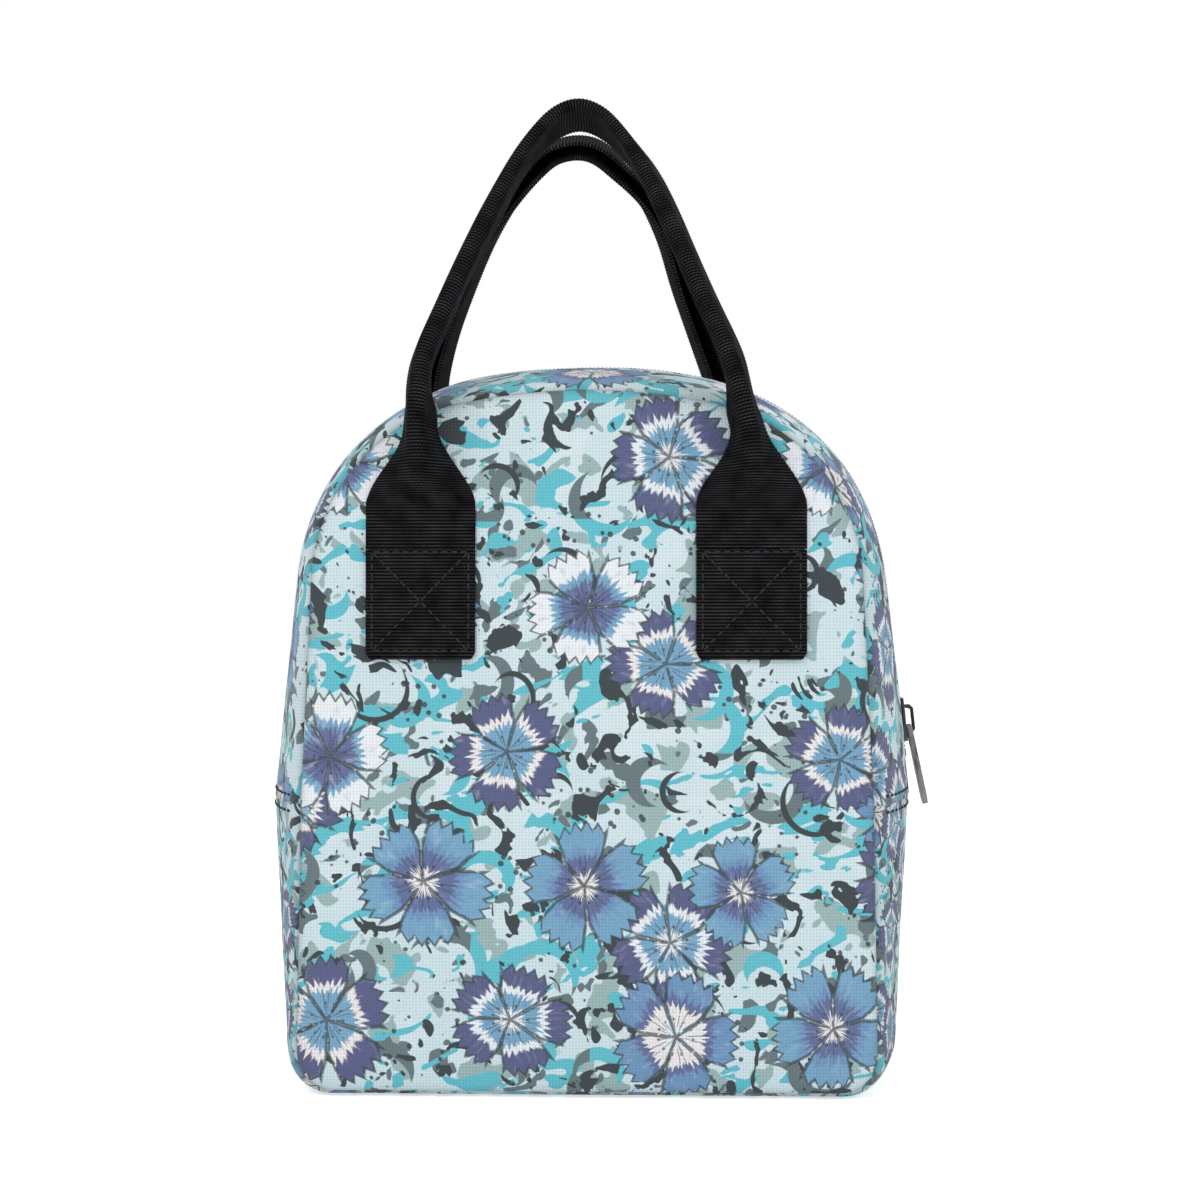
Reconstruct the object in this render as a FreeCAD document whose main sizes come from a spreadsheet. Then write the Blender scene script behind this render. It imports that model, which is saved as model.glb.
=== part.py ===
import FreeCAD, Part
import Sketcher
import math
import os

# A soft insulated lunch bag: a dome-shaped front and back panel joined by a bulging gusset, a zip over the
# top, and two webbing handles.  Origin: centre of the flat base.  +X is right, the side of the closed zip's
# slider, -Y is the front and +Z is up.  All lengths in millimetres, angles in degrees.

DIMENSIONS = {
    # overall body
    "bag_depth": 120,
    "seam_height": 101,
    "fold_height": 142,
    "fold_slit": 0.6,
    "shoulder_height": 180,
    "corner_radius": 15,
    "base_trim": 0.2,
    # outline of the flat panels (edge) and of the gusset's crown at mid depth (crown)
    "edge_low_half": 102,
    "edge_seam_half": 100.6,
    "edge_shoulder_half": 97,
    "edge_top_height": 246,
    "edge_top_radius": 215,
    "crown_low_half": 111.8,
    "crown_seam_half": 117,
    "crown_shoulder_half": 108.5,
    "crown_top_height": 258,
    "crown_top_radius": 215,
    # layers of the wall, from outside to inside
    "clearance": 0.1,
    "fabric_thickness": 1,
    "foam_thickness": 4,
    "lining_thickness": 0.5,
    "binding_thickness": 1,
    "binding_width": 8,
    "stitch_lift": 0.02,
    "beyond": 200,
    # zip
    "zip_gap_half": 6,
    "tape_half_width": 12,
    "tape_slit_half": 0.8,
    "tape_thickness": 0.5,
    "coil_half_width": 2.6,
    "coil_slit_half": 0.6,
    "coil_rise": 0.8,
    "coil_end_height": 117.3,
    "lining_edge_half": 9,
    "stop_length": 3,
    "stop_half_width": 3.4,
    "stop_gap": 0.4,
    "stop_grip": 0.4,
    # slider
    "slider_height": 127.5,
    "slider_length": 16,
    "slider_half_wide": 4.6,
    "slider_half_narrow": 3.7,
    "slider_half_nose": 3.4,
    "slider_waist_low": -1,
    "slider_waist_high": 3,
    "plate_thickness": 1.2,
    "plate_over_coil": 0.3,
    "plate_under_tape": 0.3,
    "flange_inner_half": 3,
    "flange_over_tape": 0.25,
    "post_half_thickness": 0.35,
    "post_length": 4,
    "bridge_length": 10.7,
    "bridge_rise": 3.4,
    "bridge_bar": 1,
    "bridge_width": 3.2,
    "bridge_seat": 0.02,
    "bridge_shoulder": 1.2,
    "bridge_slope": 1.4,
    "bridge_inner_slope": 0.8,
    "pull_length": 29,
    "pull_width": 7.6,
    "pull_thickness": 1.8,
    "pull_bar_radius": 0.8,
    "pull_slot_length": 7,
    "pull_slot_width": 4.2,
    "pull_drop": 3,
    "pull_rest_angle": 5.8,
    "pull_neck_width": 6.4,
    "pull_neck_length": 10,
    "pull_waist_length": 13,
    "pull_tip_rise": 2.2,
    "pull_tip_width": 4,
    # webbing handles
    "webbing_width": 38,
    "webbing_thickness": 1.6,
    "handle_spacing": 114,
    "patch_bottom": 151.5,
    "patch_top": 190.8,
    "patch_corner": 2.5,
    "leg_bottom": 193,
    "leg_flat_top": 203,
    "leg_fold_height": 245,
    "leg_fold_half_span": 55.5,
    "fold_width": 19,
    "fold_thickness": 4.4,
    "handle_lean": 21.4,
    "apex_radius": 18,
    "apex_rise": 109,
    "arch_overlap": 2,
    # stitching
    "thread_width": 0.7,
    "thread_rise": 0.3,
    "box_stitch_width": 33.5,
    "box_stitch_height": 34,
    "box_stitch_inset": 3,
    "row_offset": 2.8,
    "row_half_length": 52,
}

ACROSS, DEEP, UP = FreeCAD.Vector(1, 0, 0), FreeCAD.Vector(0, 1, 0), FreeCAD.Vector(0, 0, 1)
FACING_FRONT = FreeCAD.Rotation(ACROSS, 90)  # a sketch's x and y become the bag's x and z

doc = FreeCAD.newDocument("LunchBag")
sheet = doc.addObject("Spreadsheet::Sheet", "Dims")
parts = []


def fill_sheet():
    for row, (alias, amount) in enumerate(DIMENSIONS.items(), start=1):
        sheet.set(f"A{row}", alias)
        sheet.set(f"B{row}", str(amount))
        sheet.setAlias(f"B{row}", alias)
    doc.recompute()


def cell(alias):
    return f"Dims.{alias}"


def value(alias):
    return float(sheet.get(alias))


def bind(thing, **expressions):
    """Bind properties to expressions; a double underscore stands for a dot."""
    for path, expression in expressions.items():
        thing.setExpression(path.replace("__", "."), str(expression))
    return thing


def keep(thing, label):
    """Give a finished sub-part its label and put it on the list of files to write."""
    thing.Label = label
    parts.append(thing)
    return thing


# ---------------------------------------------------------------- layers of the wall


def inset_values():
    """How far each surface of the wall lies inside the outer surface, as expressions."""
    fabric = cell("fabric_thickness")
    foam = f"{fabric} + {cell('foam_thickness')}"
    lining = f"{foam} + {cell('lining_thickness')}"
    gap = cell("clearance")
    return {
        "stitch_out": f"-{cell('thread_rise')}",
        "stitch_in": f"-{cell('stitch_lift')}",
        "coil_out": f"-{cell('coil_rise')}",
        "outer": "0",
        "fabric_in": fabric,
        "foam_out": f"{fabric} + {gap}",
        "tape_in": f"{fabric} + {gap} + {cell('tape_thickness')}",
        "foam_in": foam,
        "lining_out": f"{foam} + {gap}",
        "lining_in": lining,
        "binding_out": f"{lining} + {gap}",
        "binding_in": f"{lining} + {gap} + {cell('binding_thickness')}",
    }


def shoulder_radius(half, height, tilt, top_centre, top_radius):
    """Radius of the arc that leaves the side line at its top end and meets the top arc, both smoothly."""
    across, up = half, height - top_centre
    inward = -math.cos(tilt) * across - math.sin(tilt) * up
    return (top_radius**2 - across**2 - up**2) / (2 * (inward + top_radius))


def arc(centre, radius, start, end):
    circle = Part.Circle(FreeCAD.Vector(*centre, 0), UP, radius)
    return Part.ArcOfCircle(circle, start, end)


def line(start, end):
    return Part.LineSegment(FreeCAD.Vector(*start, 0), FreeCAD.Vector(*end, 0))


def outline_geometry(kind, inset):
    """First guess of the dome outline: base, corners, side lines, shoulders and top arc, anticlockwise."""
    low = value(f"{kind}_low_half") - inset
    seam = value(f"{kind}_seam_half") - inset
    side = value(f"{kind}_shoulder_half") - inset
    corner = value("corner_radius") - inset
    seam_z, side_z = value("seam_height"), value("shoulder_height")
    top_radius = value(f"{kind}_top_radius") - inset
    top_centre = value(f"{kind}_top_height") - value(f"{kind}_top_radius")
    tilt = math.atan2(seam - side, side_z - seam_z)
    shoulder = shoulder_radius(side, side_z, tilt, top_centre, top_radius)
    centre = (side - shoulder * math.cos(tilt), side_z - shoulder * math.sin(tilt))
    joint = math.atan2(centre[1] - top_centre, centre[0])
    base = inset - value("base_trim")
    lift = base + corner
    corner_x = low - corner
    return [
        line((-corner_x, base), (corner_x, base)),
        arc((corner_x, lift), corner, -math.pi / 2, 0),
        line((low, lift), (seam, seam_z)),
        line((seam, seam_z), (side, side_z)),
        arc(centre, shoulder, tilt, joint),
        arc((0, top_centre), top_radius, joint, math.pi - joint),
        arc((-centre[0], centre[1]), shoulder, math.pi - joint, math.pi - tilt),
        line((-side, side_z), (-seam, seam_z)),
        line((-seam, seam_z), (-low, lift)),
        arc((-corner_x, lift), corner, math.pi, 1.5 * math.pi),
    ]


def add_rules(sketch, rules):
    for rule in rules:
        sketch.addConstraint(Sketcher.Constraint(*rule))


def add_size(sketch, rule, expression):
    """Add one dimension to a sketch and bind it to an expression."""
    index = sketch.addConstraint(Sketcher.Constraint(*rule))
    sketch.setExpression(f"Constraints[{index}]", expression)


def outline_sketch(name, kind, inset, station):
    """One dome outline, standing across the bag at the given station along Y."""
    sketch = doc.addObject("Sketcher::SketchObject", name)
    amount = float(sheet.evalExpression(inset))
    for piece in outline_geometry(kind, amount):
        sketch.addGeometry(piece)
    start, end, middle, axis, origin = 1, 2, 3, -2, -1
    smooth = [(0, 1), (1, 2), (3, 4), (4, 5), (5, 6), (6, 7), (8, 9), (9, 0)]
    add_rules(sketch, [("Tangent", a, end, b, start) for a, b in smooth])
    add_rules(
        sketch,
        [
            ("Coincident", 2, end, 3, start),
            ("Coincident", 7, end, 8, start),
            ("Symmetric", 0, start, 0, end, axis),
            ("Symmetric", 1, end, 9, start, axis),
            ("Horizontal", 2, end, 7, end),
            ("Symmetric", 3, end, 7, start, axis),
            ("Equal", 4, 6),
        ],
    )

    def half(alias):
        return f"{cell(kind + '_' + alias)} - ({inset})"

    seam_z = value("seam_height")
    seam_rise = seam_z + value("base_trim") - amount
    sizes = [
        (
            ("DistanceY", 0, end, 2, end, seam_rise),
            f"{cell('seam_height')} + {cell('base_trim')} - ({inset})",
        ),
        (("DistanceY", origin, 1, 2, end, seam_z), cell("seam_height")),
        (("Radius", 1, value("corner_radius") - amount), f"{cell('corner_radius')} - ({inset})"),
        (("DistanceX", origin, 1, 1, end, value(f"{kind}_low_half") - amount), half("low_half")),
        (("DistanceX", origin, 1, 2, end, value(f"{kind}_seam_half") - amount), half("seam_half")),
        (
            ("DistanceX", origin, 1, 3, end, value(f"{kind}_shoulder_half") - amount),
            half("shoulder_half"),
        ),
        (("DistanceY", origin, 1, 3, end, value("shoulder_height")), cell("shoulder_height")),
        (("Radius", 5, value(f"{kind}_top_radius") - amount), half("top_radius")),
        (
            (
                "DistanceY",
                origin,
                1,
                5,
                middle,
                value(f"{kind}_top_height") - value(f"{kind}_top_radius"),
            ),
            f"{cell(kind + '_top_height')} - {cell(kind + '_top_radius')}",
        ),
    ]
    for rule, expression in sizes:
        add_size(sketch, rule, expression)
    sketch.Placement = FreeCAD.Placement(FreeCAD.Vector(0, 0, 0), FACING_FRONT)
    bind(sketch, Placement__Base__y=station)
    return sketch


def bag_form(name, inset):
    """The bag's whole outer form, inset by a layer's depth: flat ends and a bulging gusset between them."""
    reach = f"{cell('bag_depth')} / 2 - ({inset})"
    sections = [
        outline_sketch(f"{name}_front_edge", "edge", inset, f"-({reach})"),
        outline_sketch(f"{name}_crown", "crown", inset, "0"),
        outline_sketch(f"{name}_back_edge", "edge", inset, reach),
    ]
    form = doc.addObject("Part::Loft", name)
    form.Sections = sections
    form.Solid = True
    form.Ruled = False
    form.Label = name
    return form


def shell(name, outside, inside):
    """The layer of the wall between two inset surfaces."""
    layer = doc.addObject("Part::Cut", name)
    layer.Base = forms[outside]
    layer.Tool = forms[inside]
    return layer


def region(name, front, back, bottom, top):
    """A box across the whole width of the bag between two stations and two heights, as expressions."""
    box = doc.addObject("Part::Box", name)
    beyond = cell("beyond")
    return bind(
        box,
        Length=f"2 * {beyond}",
        Width=f"({back}) - ({front})",
        Height=f"({top}) - ({bottom})",
        Placement__Base__x=f"-{beyond}",
        Placement__Base__y=front,
        Placement__Base__z=bottom,
    )


def common(name, base, tool):
    piece = doc.addObject("Part::Common", name)
    piece.Base = base
    piece.Tool = tool
    return piece


def slice_of(label, source, front, back, bottom, top):
    """The part of a form or layer that lies inside a region."""
    box = region(f"{label}_region", front, back, bottom, top)
    return keep(common(label, source, box), label)


def mirrored(label, source, normal):
    """A mirror image through the bag's centre."""
    copy = doc.addObject("Part::Mirroring", label)
    copy.Source = source
    copy.Base = FreeCAD.Vector(0, 0, 0)
    copy.Normal = normal
    return copy


def group(label, *members):
    together = doc.addObject("Part::Compound", label)
    together.Links = list(members)
    return together


def front_and_back(name, source, front, back, bottom, top):
    """A piece of the front half and its mirror image in the back half, each as its own sub-part."""
    first = slice_of(f"front_{name}", source, front, back, bottom, top)
    return first, keep(mirrored(f"back_{name}", first, DEEP), f"back_{name}")


# ---------------------------------------------------------------- soft walls


def heights():
    """Height limits of the pieces; the base is cut level at zero, just above the form's own underside."""
    fold, slit = cell("fold_height"), cell("fold_slit")
    return {
        "floor": "0",
        "seam": cell("seam_height"),
        "over_seam": f"{cell('seam_height')} + {cell('clearance')}",
        "under_fold": f"{fold} - {slit} / 2",
        "over_fold": f"{fold} + {slit} / 2",
        "sky": f"2 * {cell('beyond')}",
    }


def flat_walls(level):
    """Front and back panels with their foam and lining, below and above the fold."""
    face = f"-{cell('bag_depth')} / 2"
    outside = f"-{cell('beyond')}"
    layers = [
        ("panel", "outer", INSETS["fabric_in"]),
        ("foam", "foam_out", INSETS["foam_in"]),
        ("lining", "lining_out", INSETS["lining_in"]),
    ]
    for name, source, depth in layers:
        back = f"{face} + {depth}"
        front_and_back(f"lower_{name}", forms[source], outside, back, level["floor"], level["under_fold"])
        front_and_back(f"upper_{name}", forms[source], outside, back, level["over_fold"], level["sky"])


def gusset_walls(level):
    """Base gusset, side strip ends and zip strips: fabric, foam and lining."""
    gap = cell("clearance")
    face = f"{cell('bag_depth')} / 2"
    foam_edge = f"{cell('tape_half_width')} + {gap}"
    layers = [
        ("base_gusset", "zip_strip", "strip_end_fabric", "outer", "fabric_in", cell("zip_gap_half")),
        ("base_foam", "zip_strip_foam", "strip_end_foam", "foam_out", "foam_in", foam_edge),
        ("base_lining", "zip_strip_lining", "strip_end_lining", "lining_out", "lining_in",
         cell("lining_edge_half")),
    ]
    for base, strip, end, outside, inside, inner_edge in layers:
        source = shell(f"{base}_layer", outside, inside)
        reach = f"{face} - ({INSETS[inside]}) - {gap}"
        slice_of(base, source, f"-({reach})", reach, level["floor"], level["seam"])
        front_and_back(strip, source, f"-({reach})", f"-({inner_edge})", level["over_fold"], level["sky"])
        box = region(f"{end}_region", f"-({reach})", f"-({inner_edge})", level["over_seam"],
                     level["under_fold"])
        front_end = common(f"{end}_front", source, box)
        back_end = mirrored(f"{end}_back", front_end, DEEP)
        keep(group(end, front_end, back_end), end)


def seam_bindings(level):
    """Tape folded over the raw seam edges on the inside, along both panels."""
    layer = shell("binding_layer", "binding_out", "binding_in")
    outer = f"{cell('bag_depth')} / 2 - ({INSETS['binding_in']}) - {cell('clearance')}"
    inner = f"{outer} - {cell('binding_width')}"
    front_and_back("lower_binding", layer, f"-({outer})", f"-({inner})", level["floor"], level["under_fold"])
    front_and_back("upper_binding", layer, f"-({outer})", f"-({inner})", level["over_fold"], level["sky"])


def zip_tapes_and_coils(level):
    """Two tapes with their coils; the lowest stretch at each end stays with the lower bag."""
    rows = [
        ("tape", shell("tape_layer", "foam_out", "tape_in"), level["over_seam"]),
        ("coil", shell("coil_layer", "coil_out", "fabric_in"), cell("coil_end_height")),
    ]
    for name, source, bottom in rows:
        outer, inner = cell(f"{name}_half_width"), cell(f"{name}_slit_half")
        front_and_back(f"zip_{name}", source, f"-{outer}", f"-{inner}", level["over_fold"], level["sky"])
        ends = region(f"zip_{name}_end_region", f"-{outer}", f"-{inner}", bottom, level["under_fold"])
        front_end = common(f"zip_{name}_end_front", source, ends)
        back_end = mirrored(f"zip_{name}_end_back", front_end, DEEP)
        keep(group(f"zip_{name}_ends", front_end, back_end), f"zip_{name}_ends")


def side_stitching():
    """Two rows of black thread on each side, above and below the seam between zip gusset and base gusset."""
    layer = shell("thread_layer", "stitch_out", "stitch_in")
    rows = []
    for name, sign in (("upper", "+"), ("lower", "-")):
        middle = f"{cell('seam_height')} {sign} {cell('row_offset')}"
        box = region(
            f"{name}_row_region",
            f"-{cell('row_half_length')}",
            cell("row_half_length"),
            f"{middle} - {cell('thread_width')} / 2",
            f"{middle} + {cell('thread_width')} / 2",
        )
        rows.append(common(f"{name}_thread_row", layer, box))
    keep(group("side_seam_stitching", *rows), "side_seam_stitching")


# ---------------------------------------------------------------- sketches and pads for the hard parts


def plane_of(body, role):
    return next(plane for plane in body.Origin.OriginFeatures if plane.Role == role)


def body_sketch(body, role, name, offset=None):
    """A sketch on one of the body's own origin planes; the offset is along the plane's normal."""
    sketch = body.newObject("Sketcher::SketchObject", name)
    sketch.AttachmentSupport = [(plane_of(body, role), "")]
    sketch.MapMode = "FlatFace"
    if offset:
        bind(sketch, AttachmentOffset__Base__z=offset)
    return sketch


def closed_polygon(sketch, corners):
    """Closed polygon; each corner is a pair of expressions that fix its place."""
    points = [tuple(float(sheet.evalExpression(c)) for c in corner) for corner in corners]
    count = len(points)
    for index in range(count):
        sketch.addGeometry(line(points[index], points[(index + 1) % count]))
    for index in range(count):
        add_rules(sketch, [("Coincident", index, 2, (index + 1) % count, 1)])
    for index, corner in enumerate(corners):
        for rule, expression, number in zip(("DistanceX", "DistanceY"), corner, points[index]):
            if number == 0:
                line_id = -2 if rule == "DistanceX" else -1
                add_rules(sketch, [("PointOnObject", index, 1, line_id)])
            else:
                add_size(sketch, (rule, -1, 1, index, 1, number), expression)


def rectangle(sketch, left, right, bottom, top):
    closed_polygon(sketch, [(left, bottom), (right, bottom), (right, top), (left, top)])


def pad(body, sketch, length, name, both_ways=False):
    feature = body.newObject("PartDesign::Pad", name)
    feature.Profile = sketch
    feature.SideType = "Symmetric" if both_ways else "One side"
    bind(feature, Length=length)
    return feature


def pocket(body, sketch, name):
    """A cut right through the body, both ways from the sketch."""
    feature = body.newObject("PartDesign::Pocket", name)
    feature.Profile = sketch
    feature.Type = "ThroughAll"
    feature.Midplane = True
    return feature


# ---------------------------------------------------------------- zip slider


def zip_tilt():
    """The slider's straight stretch of zip leans inward by this angle, as an expression in degrees."""
    run = f"({cell('shoulder_height')} - {cell('seam_height')})"
    return f"atan(({cell('crown_seam_half')} - {cell('crown_shoulder_half')}) / {run})"


def zip_side_at(height):
    """Distance of the zip line from the middle of the bag at a height on its straight stretch."""
    lean = f"({cell('crown_seam_half')} - {cell('crown_shoulder_half')})"
    run = f"({cell('shoulder_height')} - {cell('seam_height')})"
    return f"{cell('crown_seam_half')} - ({height} - {cell('seam_height')}) * {lean} / {run}"


def on_zip_line(thing, height, turn="0 deg"):
    """Stand a piece on the zip line: its z runs up the zip, its x points away from the bag."""
    thing.Placement = FreeCAD.Placement(FreeCAD.Vector(0, 0, 0), FreeCAD.Rotation(-DEEP, 10))
    return bind(
        thing,
        Placement__Base__x=zip_side_at(height),
        Placement__Base__z=height,
        Placement__Rotation__Angle=f"{zip_tilt()} + {turn}",
    )


def slider_body():
    """Top and under plate joined by a post between the coils, with flanges that hold the coils in."""
    body = on_zip_line(doc.addObject("PartDesign::Body", "SliderBody"), cell("slider_height"))
    half = f"{cell('slider_length')} / 2"
    wide, narrow = cell("slider_half_wide"), cell("slider_half_narrow")
    nose = cell("slider_half_nose")
    waist_low, waist_high = cell("slider_waist_low"), cell("slider_waist_high")
    right = [(narrow, f"-{half}"), (narrow, waist_low), (wide, waist_high), (nose, half)]
    blade = right + [(f"-{across}", along) for across, along in reversed(right)]
    top_of_coil = f"{cell('coil_rise')} + {cell('plate_over_coil')}"
    under_tape = f"{INSETS['tape_in']} + {cell('plate_under_tape')}"
    tape_top = f"{INSETS['foam_out']} - {cell('flange_over_tape')}"
    top_plate = body_sketch(body, "YZ_Plane", "top_plate_outline", top_of_coil)
    closed_polygon(top_plate, blade)
    pad(body, top_plate, cell("plate_thickness"), "TopPlate")
    for side, sign in (("front", "-"), ("back", "")):
        flange = body_sketch(body, "YZ_Plane", f"{side}_flange_outline", f"-({tape_top})")
        inner, outer = cell("flange_inner_half"), cell("slider_half_narrow")
        edges = (f"-{outer}", f"-{inner}") if sign else (inner, outer)
        rectangle(flange, *edges, f"-{half}", half)
        pad(body, flange, f"{top_of_coil} + {tape_top}", f"{side}_flange")
    post = body_sketch(body, "YZ_Plane", "post_outline", f"-({under_tape})")
    thin = cell("post_half_thickness")
    rectangle(post, f"-{thin}", thin, waist_high, f"{waist_high} + {cell('post_length')}")
    pad(body, post, f"{top_of_coil} + {under_tape}", "Post")
    underside = f"{under_tape} + {cell('plate_thickness')}"
    under_plate = body_sketch(body, "YZ_Plane", "under_plate_outline", f"-({underside})")
    closed_polygon(under_plate, blade)
    pad(body, under_plate, cell("plate_thickness"), "UnderPlate")
    return keep(body, "slider_body")


def plate_top():
    return f"{cell('coil_rise')} + {cell('plate_over_coil')} + {cell('plate_thickness')}"


def slider_bridge():
    """The loop on top of the slider that holds the pull."""
    body = on_zip_line(doc.addObject("PartDesign::Body", "SliderBridge"), cell("slider_height"))
    half, bar = f"{cell('bridge_length')} / 2", cell("bridge_bar")
    shoulder, slope, inner_slope = cell("bridge_shoulder"), cell("bridge_slope"), cell("bridge_inner_slope")
    low = f"{plate_top()} + {cell('bridge_seat')}"
    high = f"{plate_top()} + {cell('bridge_rise')}"
    profile = body_sketch(body, "XZ_Plane", "bridge_profile")
    outside = [(low, half), (f"{high} - {shoulder}", half), (high, f"{half} - {slope}")]
    inside = [(f"{high} - {bar}", f"{half} - {bar} - {inner_slope}"), (low, f"{half} - {bar}")]
    lower_outside = [(across, f"-({along})") for across, along in outside]
    lower_inside = [(across, f"-({along})") for across, along in inside]
    closed_polygon(profile, lower_outside + outside[::-1] + inside[::-1] + lower_inside)
    pad(body, profile, cell("bridge_width"), "Loop", both_ways=True)
    return keep(body, "slider_bridge")


def slider_pull():
    """Pull tab: a flat tongue with a slot, whose top bar turns inside the bridge."""
    body = doc.addObject("PartDesign::Body", "SliderPull")
    bar_out = f"({plate_top()} + ({cell('bridge_rise')} - {cell('bridge_bar')}) / 2)"
    start, drop = cell("slider_height"), cell("pull_drop")
    on_zip_line(body, start, cell("pull_rest_angle") + " * 1 deg")
    sine, cosine = f"sin({zip_tilt()})", f"cos({zip_tilt()})"
    bind(
        body,
        Placement__Base__x=f"{zip_side_at(start)} + {bar_out} * {cosine} + {drop} * {sine}",
        Placement__Base__z=f"{start} + {bar_out} * {sine} - {drop} * {cosine}",
    )
    half, thick = f"{cell('pull_width')} / 2", cell("pull_thickness")
    length, slot = cell("pull_length"), cell("pull_slot_length")
    outline = body_sketch(body, "YZ_Plane", "tongue_outline", f"-{thick} / 2")
    neck, tip = f"{cell('pull_neck_width')} / 2", f"{cell('pull_tip_width')} / 2"
    right = [
        (neck, cell("pull_bar_radius")),
        (neck, f"-{cell('pull_neck_length')}"),
        (half, f"-{cell('pull_waist_length')}"),
        (half, f"-({length} - {cell('pull_tip_rise')})"),
        (tip, f"-{length}"),
    ]
    closed_polygon(outline, right + [(f"-({across})", along) for across, along in reversed(right)])
    pad(body, outline, thick, "Tongue")
    doc.recompute()
    window = body_sketch(body, "YZ_Plane", "slot_outline")
    slot_half = f"{cell('pull_slot_width')} / 2"
    rectangle(window, f"-{slot_half}", slot_half, f"-{slot}", f"2 * {cell('pull_bar_radius')}")
    pocket(body, window, "Slot")
    crossbar = body_sketch(body, "XZ_Plane", "crossbar_circle")
    crossbar.addGeometry(Part.Circle(FreeCAD.Vector(0, 0, 0), UP, value("pull_bar_radius")))
    add_rules(crossbar, [("Coincident", 0, 3, -1, 1)])
    add_size(crossbar, ("Radius", 0, value("pull_bar_radius")), cell("pull_bar_radius"))
    pad(body, crossbar, cell("pull_neck_width"), "Crossbar", both_ways=True)
    return keep(body, "slider_pull")


def zip_end_stops():
    """A small metal clamp over the coils at each end of the zip."""
    right = doc.addObject("Part::Box", "right_stop")
    low = f"{cell('coil_end_height')} - {cell('stop_gap')} - {cell('stop_length')}"
    bind(
        right,
        Length=f"{cell('coil_rise')} + {cell('fabric_thickness')} + {cell('stop_grip')}",
        Width=f"2 * {cell('stop_half_width')}",
        Height=cell("stop_length"),
    )
    on_zip_line(right, low)
    bind(
        right,
        Placement__Base__x=f"{zip_side_at(low)} - {cell('fabric_thickness')}",
        Placement__Base__y=f"-{cell('stop_half_width')}",
    )
    left = mirrored("left_stop", right, ACROSS)
    return keep(group("zip_end_stops", right, left), "zip_end_stops")


# ---------------------------------------------------------------- webbing handles


def webbing_section(name, width, depth, placement):
    """A rectangle of webbing cut across its length."""
    sketch = doc.addObject("Sketcher::SketchObject", name)
    rectangle(sketch, f"-{width} / 2", f"{width} / 2", f"-{depth} / 2", f"{depth} / 2")
    sketch.Placement = placement
    return sketch


def webbing_front():
    """Distance of the webbing's middle surface in front of the bag's centre."""
    return f"({cell('bag_depth')} / 2 + {cell('clearance')} + {cell('webbing_thickness')} / 2)"


def fold_station():
    """Distance of the folded webbing's middle in front of the bag's centre, where the fold is complete."""
    return f"({cell('bag_depth')} / 2 + 2 * {cell('clearance')} + {cell('fold_width')} / 2)"


def handle_leg(sign, side):
    """One leg: flat above its patch, then folded lengthwise until its width points front to back."""
    flat = FreeCAD.Placement(FreeCAD.Vector(0, 0, 0), FreeCAD.Rotation(ACROSS, 0))
    leaning = FreeCAD.Placement(FreeCAD.Vector(0, 0, 0), FreeCAD.Rotation(-ACROSS, value("handle_lean")))
    width, thick = cell("webbing_width"), cell("webbing_thickness")
    root = webbing_section(f"{side}_leg_root", width, thick, flat)
    bend = webbing_section(f"{side}_leg_bend", width, thick, flat)
    fold = webbing_section(f"{side}_leg_fold", cell("fold_thickness"), cell("fold_width"), leaning)
    middle = f"{sign}{cell('handle_spacing')} / 2"
    for sketch, height in ((root, "leg_bottom"), (bend, "leg_flat_top")):
        bind(
            sketch,
            Placement__Base__x=middle,
            Placement__Base__y=f"-{webbing_front()}",
            Placement__Base__z=cell(height),
        )
    bind(
        fold,
        Placement__Base__x=f"{sign}{cell('leg_fold_half_span')}",
        Placement__Base__y=f"-{fold_station()}",
        Placement__Base__z=cell("leg_fold_height"),
    )
    leg = doc.addObject("Part::Loft", f"{side}_leg")
    leg.Sections = [root, bend, fold]
    leg.Solid = True
    leg.Ruled = True
    return leg


def handle_arch():
    """The folded webbing over the hand: slanted legs and a round apex in a leaning plane."""
    body = doc.addObject("PartDesign::Body", "HandleArch")
    lean = FreeCAD.Rotation(-ACROSS, value("handle_lean"))
    body.Placement = FreeCAD.Placement(FreeCAD.Vector(0, 0, 0), lean)
    bind(
        body,
        Placement__Base__y=f"-{fold_station()}",
        Placement__Base__z=cell("leg_fold_height"),
    )
    radius, rise = cell("apex_radius"), cell("apex_rise")
    span, overlap = cell("leg_fold_half_span"), cell("arch_overlap")
    spine = body_sketch(body, "XZ_Plane", "arch_spine")
    r, top, foot = value("apex_radius"), value("apex_rise"), value("leg_fold_half_span")
    slope = math.atan2(foot - r, top - r)
    touch = (r * math.cos(slope), top - r + r * math.sin(slope))
    spine.addGeometry(arc((0, top - r), r, slope, math.pi / 2))
    spine.addGeometry(line(touch, (foot, -value("arch_overlap"))))
    add_rules(spine, [("Tangent", 0, 1, 1, 1), ("PointOnObject", 0, 3, -2), ("PointOnObject", 0, 2, -2)])
    add_size(spine, ("Radius", 0, r), radius)
    add_size(spine, ("DistanceY", -1, 1, 0, 2, top), rise)
    add_size(spine, ("DistanceX", -1, 1, 1, 2, foot), span)
    add_size(spine, ("DistanceY", 1, 2, -1, 1, value("arch_overlap")), overlap)
    profile = body_sketch(body, "YZ_Plane", "arch_section")
    thick, width = cell("fold_thickness"), cell("fold_width")
    rectangle(profile, f"-{width} / 2", f"{width} / 2", f"{rise} - {thick} / 2", f"{rise} + {thick} / 2")
    doc.recompute()
    pipe = body.newObject("PartDesign::AdditivePipe", "HalfArch")
    pipe.Profile = profile
    pipe.Spine = (spine, ["Edge1", "Edge2"])
    doc.recompute()
    other = body.newObject("PartDesign::Mirrored", "OtherHalf")
    other.Originals = [pipe]
    other.MirrorPlane = (plane_of(body, "YZ_Plane"), [""])
    body.Tip = other
    return body


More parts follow.
